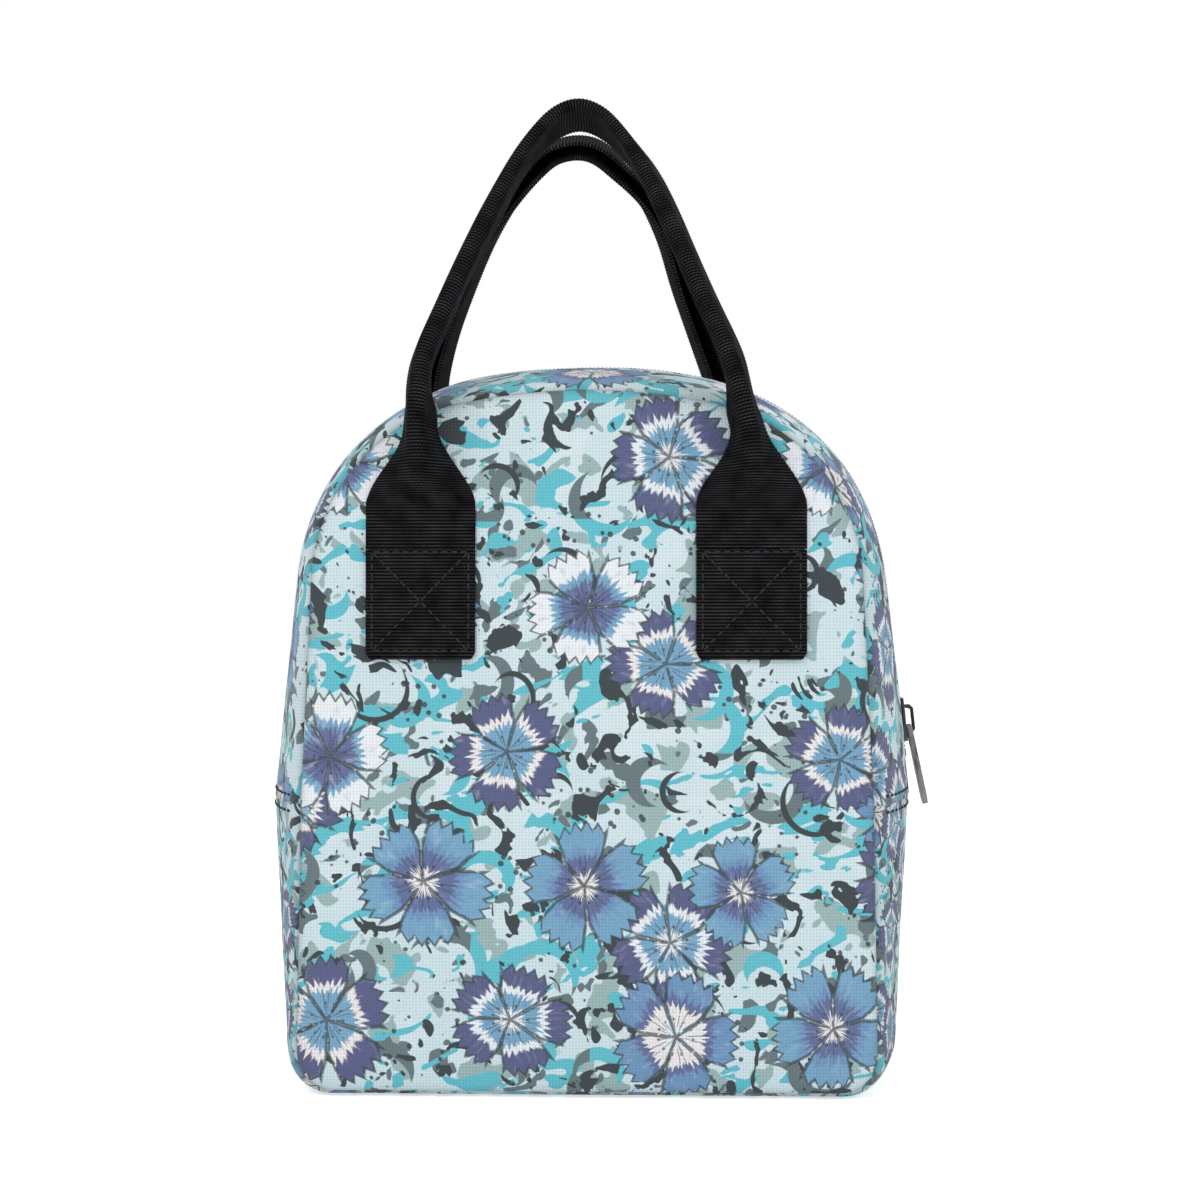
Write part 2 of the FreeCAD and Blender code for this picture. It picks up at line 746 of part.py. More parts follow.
def handles():
    """Front handle as one piece of webbing, and its mirror image at the back."""
    front = doc.addObject("Part::MultiFuse", "front_handle")
    front.Shapes = [handle_leg("", "right"), handle_leg("-", "left"), handle_arch()]
    keep(front, "front_handle")
    keep(mirrored("back_handle", front, DEEP), "back_handle")


def handle_patch():
    """The end of the webbing that is sewn flat on the panel, with its lower corners cut off."""
    body = doc.addObject("PartDesign::Body", "HandlePatch")
    bind(body, Placement__Base__y=f"-({cell('bag_depth')} / 2 + {cell('clearance')})")
    half = f"{cell('webbing_width')} / 2"
    middle = f"{cell('handle_spacing')} / 2"
    low, high, cut = cell("patch_bottom"), cell("patch_top"), cell("patch_corner")
    outline = body_sketch(body, "XZ_Plane", "patch_outline")
    closed_polygon(
        outline,
        [
            (f"{middle} - {half} + {cut}", low),
            (f"{middle} + {half} - {cut}", low),
            (f"{middle} + {half}", f"{low} + {cut}"),
            (f"{middle} + {half}", high),
            (f"{middle} - {half}", high),
            (f"{middle} - {half}", f"{low} + {cut}"),
        ],
    )
    pad(body, outline, cell("webbing_thickness"), "Patch")
    return body


def stitch_bar(name, start, end):
    """One straight row of thread on the patch face, between two (x, z) places given as expressions."""
    bar = doc.addObject("Part::Box", name)
    run, rise = f"({end[0]} - ({start[0]}))", f"({end[1]} - ({start[1]}))"
    bar.Placement = FreeCAD.Placement(FreeCAD.Vector(0, 0, 0), FreeCAD.Rotation(-DEEP, 45))
    patch_face = f"{cell('clearance')} + {cell('webbing_thickness')}"
    face = f"({cell('bag_depth')} / 2 + {patch_face} + {cell('stitch_lift')})"
    return bind(
        bar,
        Length=f"sqrt({run} * {run} + {rise} * {rise})",
        Width=cell("thread_rise"),
        Height=cell("thread_width"),
        Placement__Base__x=start[0],
        Placement__Base__y=f"-({face} + {cell('thread_rise')})",
        Placement__Base__z=start[1],
        Placement__Rotation__Angle=f"atan2({rise}; {run})",
    )


def patch_stitching():
    """Box-and-cross rows of thread on one patch."""
    middle, half = f"{cell('handle_spacing')} / 2", f"{cell('box_stitch_width')} / 2"
    low = f"{cell('patch_bottom')} + {cell('box_stitch_inset')}"
    high = f"{low} + {cell('box_stitch_height')}"
    left, right = f"{middle} - {half}", f"{middle} + {half}"
    tuck = f"{cell('thread_width')} / 3"
    far_left, far_right = f"{left} - {cell('thread_width')}", f"{right} + {cell('thread_width')}"
    rows = {
        "bottom_row": ((far_left, low), (far_right, low)),
        "top_row": ((far_left, high), (far_right, high)),
        "left_row": ((left, low), (left, high)),
        "right_row": ((right, low), (right, high)),
        "rising_row": ((left, f"{low} + {tuck}"), (f"{right} - {tuck}", f"{high} + {tuck}")),
        "falling_row": ((f"{left} - {tuck}", f"{high} + {tuck}"), (f"{right} - {tuck}", f"{low} + {tuck}")),
    }
    cross = doc.addObject("Part::MultiFuse", "box_and_cross")
    cross.Shapes = [stitch_bar(name, *ends) for name, ends in rows.items()]
    return cross


def sewn_ends():
    """Patches and their stitching: two on the front panel and two on the back panel."""
    for label, right in (("handle_anchors", handle_patch()), ("anchor_stitching", patch_stitching())):
        pair = group(f"front_{label}", right, mirrored(f"left_{label}", right, ACROSS))
        keep(pair, f"front_{label}")
        keep(mirrored(f"back_{label}", pair, DEEP), f"back_{label}")


# ---------------------------------------------------------------- build, check and write


def check_document():
    for thing in doc.Objects:
        if {"Invalid", "Error"} & set(thing.State):
            raise RuntimeError(f"{thing.Name} failed: {thing.State}")
    for thing in parts:
        if thing.Shape.isNull() or not thing.Shape.isValid() or not thing.Shape.Solids:
            raise RuntimeError(f"{thing.Label} has no valid solid")


def write_parts():
    os.makedirs("parts", exist_ok=True)
    for thing in parts:
        thing.Shape.exportStep(f"parts/{thing.Label}.step")
        print(thing.Label, len(thing.Shape.Solids), round(thing.Shape.Volume))


fill_sheet()
INSETS = inset_values()
forms = {name: bag_form(f"form_{name}", inset) for name, inset in INSETS.items()}
level_limits = heights()
flat_walls(level_limits)
gusset_walls(level_limits)
seam_bindings(level_limits)
zip_tapes_and_coils(level_limits)
side_stitching()
zip_end_stops()
slider_body()
slider_bridge()
slider_pull()
handles()
sewn_ends()
doc.recompute()
check_document()
write_parts()
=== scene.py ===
import math

import bmesh
import bpy
import numpy as np
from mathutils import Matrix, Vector, noise
from mathutils.bvhtree import BVHTree


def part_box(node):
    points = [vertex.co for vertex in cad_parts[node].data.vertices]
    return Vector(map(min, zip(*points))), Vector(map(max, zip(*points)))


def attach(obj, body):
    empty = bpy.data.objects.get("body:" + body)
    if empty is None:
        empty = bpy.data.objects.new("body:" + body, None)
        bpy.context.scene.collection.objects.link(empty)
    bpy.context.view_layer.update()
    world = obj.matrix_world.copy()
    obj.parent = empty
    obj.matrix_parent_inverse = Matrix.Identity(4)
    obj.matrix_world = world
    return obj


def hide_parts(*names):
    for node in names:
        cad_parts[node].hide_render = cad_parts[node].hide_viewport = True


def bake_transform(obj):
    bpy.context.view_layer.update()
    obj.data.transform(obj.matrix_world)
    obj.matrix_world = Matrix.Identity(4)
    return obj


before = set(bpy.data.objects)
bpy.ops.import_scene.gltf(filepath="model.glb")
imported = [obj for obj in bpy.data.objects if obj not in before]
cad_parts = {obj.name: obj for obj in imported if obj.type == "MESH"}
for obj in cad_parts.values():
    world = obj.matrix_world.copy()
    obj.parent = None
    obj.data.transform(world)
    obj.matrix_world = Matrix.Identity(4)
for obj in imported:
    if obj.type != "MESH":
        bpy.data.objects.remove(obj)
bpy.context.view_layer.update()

MM = 0.001

# ------------------------------------------------------------------ measures, in metres, from the frame


def low(node):
    return [float(c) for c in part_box(node)[0]]


def high(node):
    return [float(c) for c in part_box(node)[1]]


HALF_DEPTH = -low("front_lower_panel")[1]
SEAM_Z = high("base_gusset")[2]
EDGE_TOP = high("front_upper_panel")[2] - 0.2 * MM
CROWN_TOP = high("front_zip_strip")[2]
CROWN_SEAM = high("base_gusset")[0]
SHOULDER_Z = 180 * MM
CORNER = 14 * MM
TOP_RADIUS = 215 * MM
EDGE = {"low": 102 * MM, "seam": 100.6 * MM, "shoulder": 97 * MM, "top": EDGE_TOP}
CROWN = {"low": 111.8 * MM, "seam": CROWN_SEAM, "shoulder": 108.5 * MM, "top": CROWN_TOP}

# ------------------------------------------------------------------ outlines of the bag


def steps(start, end, count):
    """Evenly spaced values from start up to, but not including, end."""
    return [start + (end - start) * k / count for k in range(count)]


def straight(start, end, count):
    start, end = np.array(start), np.array(end)
    return [tuple(start + (end - start) * s) for s in steps(0, 1, count)]


def round_arc(centre, radius, start, end, count):
    turns = steps(start, end, count)
    return [(centre[0] + radius * math.cos(a), centre[1] + radius * math.sin(a)) for a in turns]


COUNTS = {"base": 26, "corner": 8, "lower_side": 26, "upper_side": 24, "shoulder": 26, "top": 18}
HALF_COUNT = sum(COUNTS.values())
LOOP_COUNT = 2 * HALF_COUNT
SEAM_INDEX = COUNTS["base"] + COUNTS["corner"] + COUNTS["lower_side"]


def dome_loop(shape):
    """Closed dome outline as (x, z) pairs, from the base centre up the right side and down the left one."""
    tilt = math.atan2(shape["seam"] - shape["shoulder"], SHOULDER_Z - SEAM_Z)
    centre_z = shape["top"] - TOP_RADIUS
    rise = SHOULDER_Z - centre_z
    inward = -math.cos(tilt) * shape["shoulder"] - math.sin(tilt) * rise
    radius = (TOP_RADIUS**2 - shape["shoulder"] ** 2 - rise**2) / (2 * (inward + TOP_RADIUS))
    hub = (shape["shoulder"] - radius * math.cos(tilt), SHOULDER_Z - radius * math.sin(tilt))
    joint = math.atan2(hub[1] - centre_z, hub[0])
    half = straight((0, 0), (shape["low"] - CORNER, 0), COUNTS["base"])
    half += round_arc((shape["low"] - CORNER, CORNER), CORNER, -math.pi / 2, 0, COUNTS["corner"])
    half += straight((shape["low"], CORNER), (shape["seam"], SEAM_Z), COUNTS["lower_side"])
    half += straight((shape["seam"], SEAM_Z), (shape["shoulder"], SHOULDER_Z), COUNTS["upper_side"])
    half += round_arc(hub, radius, tilt, joint, COUNTS["shoulder"])
    half += round_arc((0, centre_z), TOP_RADIUS, joint, math.pi / 2, COUNTS["top"])
    apex = [(0, shape["top"])]
    left = [(-x, z) for x, z in reversed(half[1:])]
    return np.array(half + apex + left)


SIGN = {"front": -1, "back": 1}
EDGE_LOOP = dome_loop(EDGE)
CROWN_LOOP = dome_loop(CROWN)

# distances from the seam at which the gusset and the panels have a row of points, closest beside the seam
ZIP_EDGE = 6 * MM
SEAM_STEPS = [0, 0.7, 1.5, 2.5, 4, 6, 9, 13, 18, 24]
GUSSET_STEPS = np.array(SEAM_STEPS + [30, 36, 42, 47, 50.5, 52.6, 54]) * MM
MIDDLE_STEPS = np.array([57, 60]) * MM
HALF_ROWS = len(GUSSET_STEPS)
GUSSET_Y = np.concatenate([GUSSET_STEPS, MIDDLE_STEPS]) - HALF_DEPTH
GUSSET_Y = np.concatenate([GUSSET_Y, -GUSSET_Y[-2::-1]])
PANEL_STEPS = np.array(SEAM_STEPS + [31, 39, 48, 57, 66, 75, 84, 92, 99, 105, 110]) * MM
PANEL_CENTRE = np.array([0.0, 122 * MM])
PANEL_REACH = PANEL_STEPS[-1]


def with_depth(flat, depth):
    """A grid of places from a grid of (x, z) pairs and the depth of each column."""
    return np.stack([flat[:, :, 0], np.broadcast_to(depth, flat.shape[:2]), flat[:, :, 1]], 2)


def gusset_grid():
    """Rest shape of the gusset: loop points by depth rows."""
    swell = 1 - (GUSSET_Y / HALF_DEPTH) ** 2
    flat = EDGE_LOOP[:, None, :] + (CROWN_LOOP - EDGE_LOOP)[:, None, :] * swell[None, :, None]
    return with_depth(flat, GUSSET_Y)


def panel_grid(side):
    """Rest shape of a panel as rings from the seam to the middle; side is -1 at the front, 1 at the back."""
    scale = 1 - PANEL_STEPS / PANEL_REACH
    flat = PANEL_CENTRE + (EDGE_LOOP - PANEL_CENTRE)[:, None, :] * scale[None, :, None]
    return with_depth(flat, side * HALF_DEPTH)


# ------------------------------------------------------------------ the whole skin, inflated as cloth


def index_grids():
    """Vertex numbers of the gusset and the two panels in one welded skin."""
    rings = len(PANEL_STEPS)
    gusset = np.arange(LOOP_COUNT * len(GUSSET_Y)).reshape(LOOP_COUNT, len(GUSSET_Y))
    count = gusset.size
    panels = []
    for column in (0, -1):
        rows = np.zeros((LOOP_COUNT, rings), int)
        rows[:, 0] = gusset[:, column]
        rows[:, 1:-1] = count + np.arange(LOOP_COUNT * (rings - 2)).reshape(LOOP_COUNT, rings - 2)
        rows[:, -1] = count + LOOP_COUNT * (rings - 2)
        count = rows[0, -1] + 1
        panels.append(rows)
    return gusset, panels[0], panels[1], count


def quads(grid, closed, flip):
    """Faces of a grid of vertex numbers; closed joins the last row to the first."""
    faces = []
    rows = grid.shape[0] if closed else grid.shape[0] - 1
    for i in range(rows):
        k = (i + 1) % grid.shape[0]
        for j in range(grid.shape[1] - 1):
            face = [grid[i, j], grid[i, j + 1], grid[k, j + 1], grid[k, j]]
            face = [int(v) for n, v in enumerate(face) if v not in face[:n]]
            faces.append(face[::-1] if flip else face)
    return faces


def skin_points(grids, numbers, count):
    points = np.zeros((count, 3))
    for grid, number in zip(grids, numbers):
        points[number] = grid
    return points


CLOTH_FRAMES = 16
PANEL_SWELL = 4.5 * MM
GUSSET_SWELL = 2 * MM
CLOTH = {
    "vertex_group_mass": "held",
    "use_pressure": True,
    "uniform_pressure_force": 4,
    "mass": 0.3,
    "quality": 4,
    "tension_stiffness": 25,
    "compression_stiffness": 25,
    "bending_stiffness": 2,
    "air_damping": 2,
}


def inflate(points, faces, pins):
    """Run the skin as cloth under a little air pressure and return where its points come to rest."""
    mesh = bpy.data.meshes.new("skin_cloth")
    mesh.from_pydata(points.tolist(), [], faces)
    skin = bpy.data.objects.new("skin_cloth", mesh)
    bpy.context.scene.collection.objects.link(skin)
    group = skin.vertex_groups.new(name="held")
    for number, weight in enumerate(pins):
        if weight > 0:
            group.add([number], float(weight), "REPLACE")
    cloth = skin.modifiers.new("cloth", "CLOTH")
    for setting, value in CLOTH.items():
        setattr(cloth.settings, setting, value)
    cloth.settings.effector_weights.gravity = 0
    cloth.collision_settings.use_collision = False
    scene = bpy.context.scene
    for number in range(1, CLOTH_FRAMES + 1):
        scene.frame_set(number)
    settled = skin.evaluated_get(bpy.context.evaluated_depsgraph_get())
    result = np.zeros(len(points) * 3)
    settled.data.vertices.foreach_get("co", result)
    scene.frame_set(1)
    bpy.data.objects.remove(skin)
    return result.reshape(-1, 3)


def held_weights(points, gusset):
    """How firmly each point is held: wholly at the base and the zip, almost wholly at the seams."""
    weight = np.zeros(len(points))
    weight[points[:, 2] < 1 * MM] = 1
    weight[gusset[:, [0, -1]].ravel()] = 0.97
    middle = np.abs(GUSSET_Y) <= ZIP_EDGE + 0.1 * MM
    weight[gusset[SEAM_INDEX : LOOP_COUNT - SEAM_INDEX + 1, middle].ravel()] = 1
    weight[gusset[[SEAM_INDEX, LOOP_COUNT - SEAM_INDEX]].ravel()] = 0.98
    return weight


def limit(moves, cap):
    """Shorten moves smoothly so that none is longer than the cap."""
    length = np.linalg.norm(moves, axis=-1, keepdims=True)
    return moves * np.tanh(length / cap) * cap / np.maximum(length, 1e-9)


def settle_skin():
    """Grids of the gusset and both panels after the cloth has settled."""
    gusset_ids, front_ids, back_ids, count = index_grids()
    numbers = (gusset_ids, front_ids, back_ids)
    rest = (gusset_grid(), panel_grid(-1), panel_grid(1))
    points = skin_points(rest, numbers, count)
    faces = quads(gusset_ids, True, False) + quads(front_ids, True, True) + quads(back_ids, True, False)
    moves = inflate(points, faces, held_weights(points, gusset_ids)) - points
    caps = (GUSSET_SWELL, PANEL_SWELL, PANEL_SWELL)
    return tuple(grid + limit(moves[number], cap) for grid, number, cap in zip(rest, numbers, caps))


# ------------------------------------------------------------------ seam dips, puckers and soft waves


def wave(place, size, seed):
    """Smooth noise from -1 to 1 over lengths of about the given size."""
    return noise.noise(Vector(place) / size + Vector((seed * 7.3, seed * 3.1, seed * 5.7)))


def grid_normals(grid, closed, flip):
    """Unit normals of a grid of points, outward when flip is right for it."""
    along = np.zeros_like(grid)
    if closed:
        along = np.roll(grid, -1, axis=0) - np.roll(grid, 1, axis=0)
    else:
        along = np.gradient(grid, axis=0)
    across = np.gradient(grid, axis=1)
    normal = np.cross(across, along)
    if flip:
        normal = -normal
    length = np.linalg.norm(normal, axis=2, keepdims=True)
    normal = normal / np.maximum(length, 1e-12)
    if length[:, -1].max() < 1e-9:  # the rings have shrunk to a point in the middle of a panel
        middle = normal[:, -2].mean(axis=0)
        normal[:, -1] = middle / np.linalg.norm(middle)
    return normal


SEAM_DIP = 1.7 * MM
SEAM_ROUND = 1.7 * MM
PUCKER_HEIGHT = 0.5 * MM
PUCKER_REACH = 9 * MM
PUCKER_LENGTH = 11 * MM
SOFT_WAVE = 0.7 * MM
SOFT_LENGTH = 45 * MM
# width of the painted shade that darkens the cloth beside the seams
SEAM_SHADE_WIDTH = 1.3 * MM


def soften(grid, normals, from_seam, seed):
    """Round the cloth into its seam, pucker it beside the seam and give it slow waves further in."""
    shaped = grid.copy()
    for i in range(grid.shape[0]):
        for j in range(grid.shape[1]):
            distance = from_seam[j]
            place = grid[i, j]
            dip = -SEAM_DIP * math.exp(-distance / SEAM_ROUND)
            inland = 1 - math.exp(-distance / (3 * MM))
            ripple = wave(place, PUCKER_LENGTH, seed) * math.exp(-distance / PUCKER_REACH) * inland
            slow = wave(place, SOFT_LENGTH, seed + 1) * min(distance / (20 * MM), 1)
            on_floor = 1 if place[2] > 2 * MM else 0
            shaped[i, j] += normals[i, j] * (dip + (ripple * PUCKER_HEIGHT + slow * SOFT_WAVE) * on_floor)
    return shaped


# ------------------------------------------------------------------ sheets of material


def new_object(name, mesh, material):
    thing = bpy.data.objects.new(name, mesh)
    bpy.context.scene.collection.objects.link(thing)
    if material:
        mesh.materials.append(material)
    return thing


def clean(mesh, smooth=True):
    """Weld doubled points, drop empty faces and point the normals outward."""
    work = bmesh.new()
    work.from_mesh(mesh)
    bmesh.ops.remove_doubles(work, verts=work.verts, dist=1e-7)
    bmesh.ops.dissolve_degenerate(work, edges=work.edges, dist=1e-8)
    bmesh.ops.recalc_face_normals(work, faces=work.faces)
    for face in work.faces:
        face.smooth = smooth
    work.to_mesh(mesh)
    work.free()


def sheet(name, outside, inside, uv, material, closed=False, seam=None):
    """A closed sheet between two grids of points, with the cloth's own coordinates (metres) as its UV map.

    seam gives each column's distance from a seam, kept for the material to paint shade along the seam's
    crease."""
    rows, columns = outside.shape[:2]
    count = rows * columns
    outer = np.arange(count).reshape(rows, columns)
    inner = outer + count
    faces = quads(outer, closed, False) + quads(inner, closed, True)
    rims = [np.stack([inner[:, 0], outer[:, 0]], 1), np.stack([outer[:, -1], inner[:, -1]], 1)]
    for rim in rims:
        faces += quads(rim, closed, False)
    if not closed:
        faces += quads(np.stack([outer[0], inner[0]], 1), False, False)
        faces += quads(np.stack([inner[-1], outer[-1]], 1), False, False)
    mesh = bpy.data.meshes.new(name)
    mesh.from_pydata(np.concatenate([outside.reshape(-1, 3), inside.reshape(-1, 3)]).tolist(), [], faces)
    layer = mesh.uv_layers.new(name="cloth")
    places = np.concatenate([uv.reshape(-1, 2), uv.reshape(-1, 2)])
    corners = np.zeros(len(mesh.loops), int)
    mesh.loops.foreach_get("vertex_index", corners)
    layer.data.foreach_set("uv", places[corners].ravel())
    if seam is not None:
        # painted shade: strongest on the seam, fading inward
        painted_seam_shade = np.exp(-np.tile(np.array(seam), (rows, 1)) / SEAM_SHADE_WIDTH).ravel()
        mesh.attributes.new("painted_seam_shade", "FLOAT", "POINT").data.foreach_set("value", np.tile(painted_seam_shade, 2))
    clean(mesh)
    return new_object(name, mesh, material)


def lengths_along(line):
    """Distance of each point of a line from its first, measured along it."""
    return np.concatenate([[0], np.cumsum(np.linalg.norm(np.diff(line, axis=0), axis=1))])


def between(wanted, length, values):
    """Three-part values read at the wanted lengths along a line."""
    return np.stack([np.interp(wanted, length, values[:, k]) for k in range(3)], 1)


def flat_map(along, across):
    """UV places of a grid from one coordinate for each row and one for each column."""
    return np.stack(np.broadcast_arrays(np.array(along)[:, None], np.array(across)[None, :]), 2)


def gusset_uv(grid):
    """Length along the loop and across the gusset, measured on the cloth."""
    return flat_map(lengths_along(grid[:, grid.shape[1] // 2]), lengths_along(grid[HALF_COUNT]))


def panel_uv(grid, side):
    uv = grid[:, :, [0, 2]].copy()
    uv[:, :, 0] *= -side
    return uv


def to_flap(piece):
    """Bake a piece's placement into its mesh; the piece is not bent between the lower bag and the mouth."""
    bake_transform(piece)


def from_seam_rows(rows):
    """Distance of each depth row from the nearer panel seam."""
    return HALF_DEPTH - np.abs(rows)


# ------------------------------------------------------------------ walls: fabric, foam and lining

# depth of the outer and inner face below the skin, name of the finish, slot
LAYERS = {
    "fabric": (0, 1 * MM, "canvas", "printed_canvas"),
    "foam": (1.15 * MM, 5.1 * MM, "foam", "foam"),
    "lining": (5.25 * MM, 5.75 * MM, "lining", "lining"),
}
BINDING_OUT, BINDING_IN = 5.9 * MM, 6.6 * MM
INNER_START = 5  # the first row of points, counted from the seam, that foam and lining reach
FOAM_TO_ZIP = 13 * MM
LINING_TO_ZIP = 9.5 * MM
CRINKLE_SIZE = 22 * MM
CRINKLE_HEIGHT = 1 * MM
BASE_PRINT_SCALE = 1.6
HEM_LIFTS = (0.1 * MM, 0.55 * MM, 0.35 * MM, -0.25 * MM, 0.1 * MM)


def seam_directions(gusset, panels):
    """Outward direction of each seam point, halfway between the gusset's and the panel's."""
    normals = grid_normals(gusset, True, False)
    result = []
    for column, panel, flip in ((0, panels[0], True), (-1, panels[1], False)):
        both = normals[:, column] + grid_normals(panel, True, flip)[:, 1]
        result.append(both / np.linalg.norm(both, axis=1, keepdims=True))
    return result


def dress(grid, normals, distances, directions, seed):
    """Round a wall into its seams and add puckers and slow waves; directions holds one for each column."""
    shaped = soften(grid, normals, distances, seed)
    for j, distance in enumerate(distances):
        shaped[:, j] -= directions[j] * SEAM_DIP * math.exp(-distance / SEAM_ROUND)
    return shaped


def crinkle(grid, normals, seed):
    """Foil-like creases."""
    shaped = grid.copy()
    for i, j in np.ndindex(grid.shape[:2]):
        place = grid[i, j]
        ridge = abs(wave(place, CRINKLE_SIZE, seed)) + 0.5 * abs(wave(place, CRINKLE_SIZE / 2, seed + 2))
        shaped[i, j] += normals[i, j] * (0.4 - ridge) * CRINKLE_HEIGHT
    return shaped


def layer(name, kind, part, normals, uv, finish, closed, seed, seam):
    """One sheet of a wall, at its kind's depth below the skin; only the fabric gets painted shade along its
    seam.
    """
    outer, inner, finish_name, slot = LAYERS[kind]
    if kind == "lining":
        part = crinkle(part, normals, seed)
    faces = (part - normals * outer, part - normals * inner)
    piece = sheet(name, *faces, uv, finish[finish_name], closed, seam if kind == "fabric" else None)
    return piece


def panel_walls(side, grid, normals, finish):
    """One flat panel of the bag with its foam and its lining."""
    uv = panel_uv(panel_grid(SIGN[side]), SIGN[side])
    for kind in ("fabric", "foam", "lining"):
        name, start = ("panel", 0) if kind == "fabric" else (kind, INNER_START)
        part = (grid[:, start:], normals[:, start:], uv[:, start:])
        piece_name = f"{side}_{name}" if kind == "fabric" else f"{side}_{name}_sheet"
        piece = layer(piece_name, kind, *part, finish, True, 11, PANEL_STEPS)
        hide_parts(f"{side}_lower_{name}", f"{side}_upper_{name}")
        to_flap(piece)


def base_walls(grid, normals, finish):
    """The wide gusset under the bag and up both sides to the side seams."""
    rows = np.r_[LOOP_COUNT - SEAM_INDEX : LOOP_COUNT, 0 : SEAM_INDEX + 1]
    whole = gusset_uv(grid) * BASE_PRINT_SCALE
    uv = whole[rows]
    uv[:SEAM_INDEX, :, 0] -= whole[-1, 0, 0]
    for kind, start in (("fabric", 0), ("foam", INNER_START), ("lining", INNER_START)):
        columns = slice(start, grid.shape[1] - start)
        part = (grid[rows, columns], normals[rows, columns], uv[:, columns])
        name = "base_fabric" if kind == "fabric" else f"base_{kind}_sheet"
        piece = layer(name, kind, *part, finish, False, 13, from_seam_rows(GUSSET_Y))
        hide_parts("base_gusset" if kind == "fabric" else f"base_{kind}")
        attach(piece, "lower_bag")


def strip_columns(side, reach_from_middle, start):
    """Columns of the gusset grid from the row `start` to the one at a distance from the zip's centre line."""
    last = int(np.argmin(np.abs(GUSSET_Y[:HALF_ROWS] + reach_from_middle)))
    columns = np.arange(start, last + 1)
    return columns if side == "front" else len(GUSSET_Y) - 1 - columns[::-1]


def strip_walls(side, grid, normals, finish):
    """The zip gusset's strip beside one panel, from side seam to side seam over the top."""
    rows = np.arange(SEAM_INDEX, LOOP_COUNT - SEAM_INDEX + 1)
    uv = gusset_uv(grid)
    for kind, name, node, reach, start in (
        ("fabric", "zip_strip_fabric", "zip_strip", ZIP_EDGE, 0),
        ("foam", "zip_strip_foam_sheet", "zip_strip_foam", FOAM_TO_ZIP, INNER_START),
        ("lining", "zip_strip_lining_sheet", "zip_strip_lining", LINING_TO_ZIP, INNER_START),
    ):
        columns = strip_columns(side, reach, start)
        patch = np.ix_(rows, columns)
        part = hem(grid[patch], normals[patch], side) if kind == "fabric" else grid[patch]
        rest = (normals[patch], uv[patch], finish, False, 17, from_seam_rows(GUSSET_Y[columns]))
        piece = layer(f"{side}_{name}", kind, part, *rest)
        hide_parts(f"{side}_{node}", f"strip_end_{kind}")
        to_flap(piece)


def hem(part, normals, side):
    """Raise the folded edge of the strip beside the zip and sink its row of top stitching."""
    shaped = part.copy()
    for k, lift in enumerate(HEM_LIFTS):
        column = -1 - k if side == "front" else k
        shaped[:, column] += normals[:, column] * lift
    return shaped


def bindings(side, gusset, gusset_normals, panel, panel_normals, finish):
    """Tape over the raw edges in the inside corner, reaching onto the gusset's and the panel's lining."""
    reach = np.arange(INNER_START, INNER_START + 2)
    columns = reach[::-1] if side == "front" else len(GUSSET_Y) - 1 - reach[::-1]
    faces = []
    for depth in (BINDING_OUT, BINDING_IN):
        on_gusset = gusset[:, columns] - gusset_normals[:, columns] * depth
        on_panel = panel[:, reach] - panel_normals[:, reach] * depth
        faces.append(np.concatenate([on_gusset, on_panel], 1))
    uv = flat_map(gusset_uv(gusset)[:, 0, 0], np.arange(4) * 3 * MM)
    piece = sheet(f"{side}_seam_binding", *faces, uv, finish["binding"], True)
    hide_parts(f"{side}_lower_binding", f"{side}_upper_binding")
    to_flap(piece)


# ------------------------------------------------------------------ paths on the gusset


def gusset_at(grid, normals, along, across):
    """Place and outward normal on the gusset; along is a loop index with a fraction, across a depth."""
    i = int(math.floor(along))
    j = int(np.clip(np.searchsorted(GUSSET_Y, across) - 1, 0, len(GUSSET_Y) - 2))
    u = along - i
    v = (across - GUSSET_Y[j]) / (GUSSET_Y[j + 1] - GUSSET_Y[j])
    k = (i + 1) % LOOP_COUNT
    i %= LOOP_COUNT

    def mix(field):
        here = (1 - v) * field[i, j] + v * field[i, j + 1]
        there = (1 - v) * field[k, j] + v * field[k, j + 1]
        return (1 - u) * here + u * there

    normal = mix(normals)
    return mix(grid), normal / np.linalg.norm(normal)


def index_at_height(grid, height, right=True):
    """Loop index, with a fraction, at which the gusset's middle passes a height on one side."""
    middle = grid[:, len(GUSSET_Y) // 2, 2]
    i = COUNTS["base"] + COUNTS["corner"]
    while middle[i + 1] < height:
        i += 1
    index = i + (height - middle[i]) / (middle[i + 1] - middle[i])
    return index if right else LOOP_COUNT - index


def walk(grid, normals, start, end, across, spacing):
    """Evenly spaced places, normals and tangents on the gusset between two loop indices."""
    fine = np.linspace(start, end, 1600)
    spots = [gusset_at(grid, normals, u, across) for u in fine]
    places = np.array([spot[0] for spot in spots])
    facing = np.array([spot[1] for spot in spots])
    length = lengths_along(places)
    count = max(int(round(length[-1] / spacing)), 2)
    wanted = np.linspace(0, length[-1], count + 1)
    place, normal = between(wanted, length, places), between(wanted, length, facing)
    tangent = np.gradient(place, axis=0)
    tangent /= np.linalg.norm(tangent, axis=1, keepdims=True)
    normal /= np.linalg.norm(normal, axis=1, keepdims=True)
    return place, normal, tangent, wanted


# ------------------------------------------------------------------ zip


COIL_PITCH = 1.5 * MM
COIL_HALF = 2.6 * MM
COIL_WIRE = 0.32 * MM
COIL_TURN_POINTS = 12
COIL_OVERLAP = 0.35 * MM
COIL_LIFT = 0.75 * MM
COIL_START = 117.3 * MM
TAPE_ROWS = np.array([0.25, 1.2, 2.4, 3.6, 4.8, 6, 8, 10, 12]) * MM
TAPE_LEVEL = 1.2 * MM
TAPE_THICKNESS = 0.5 * MM


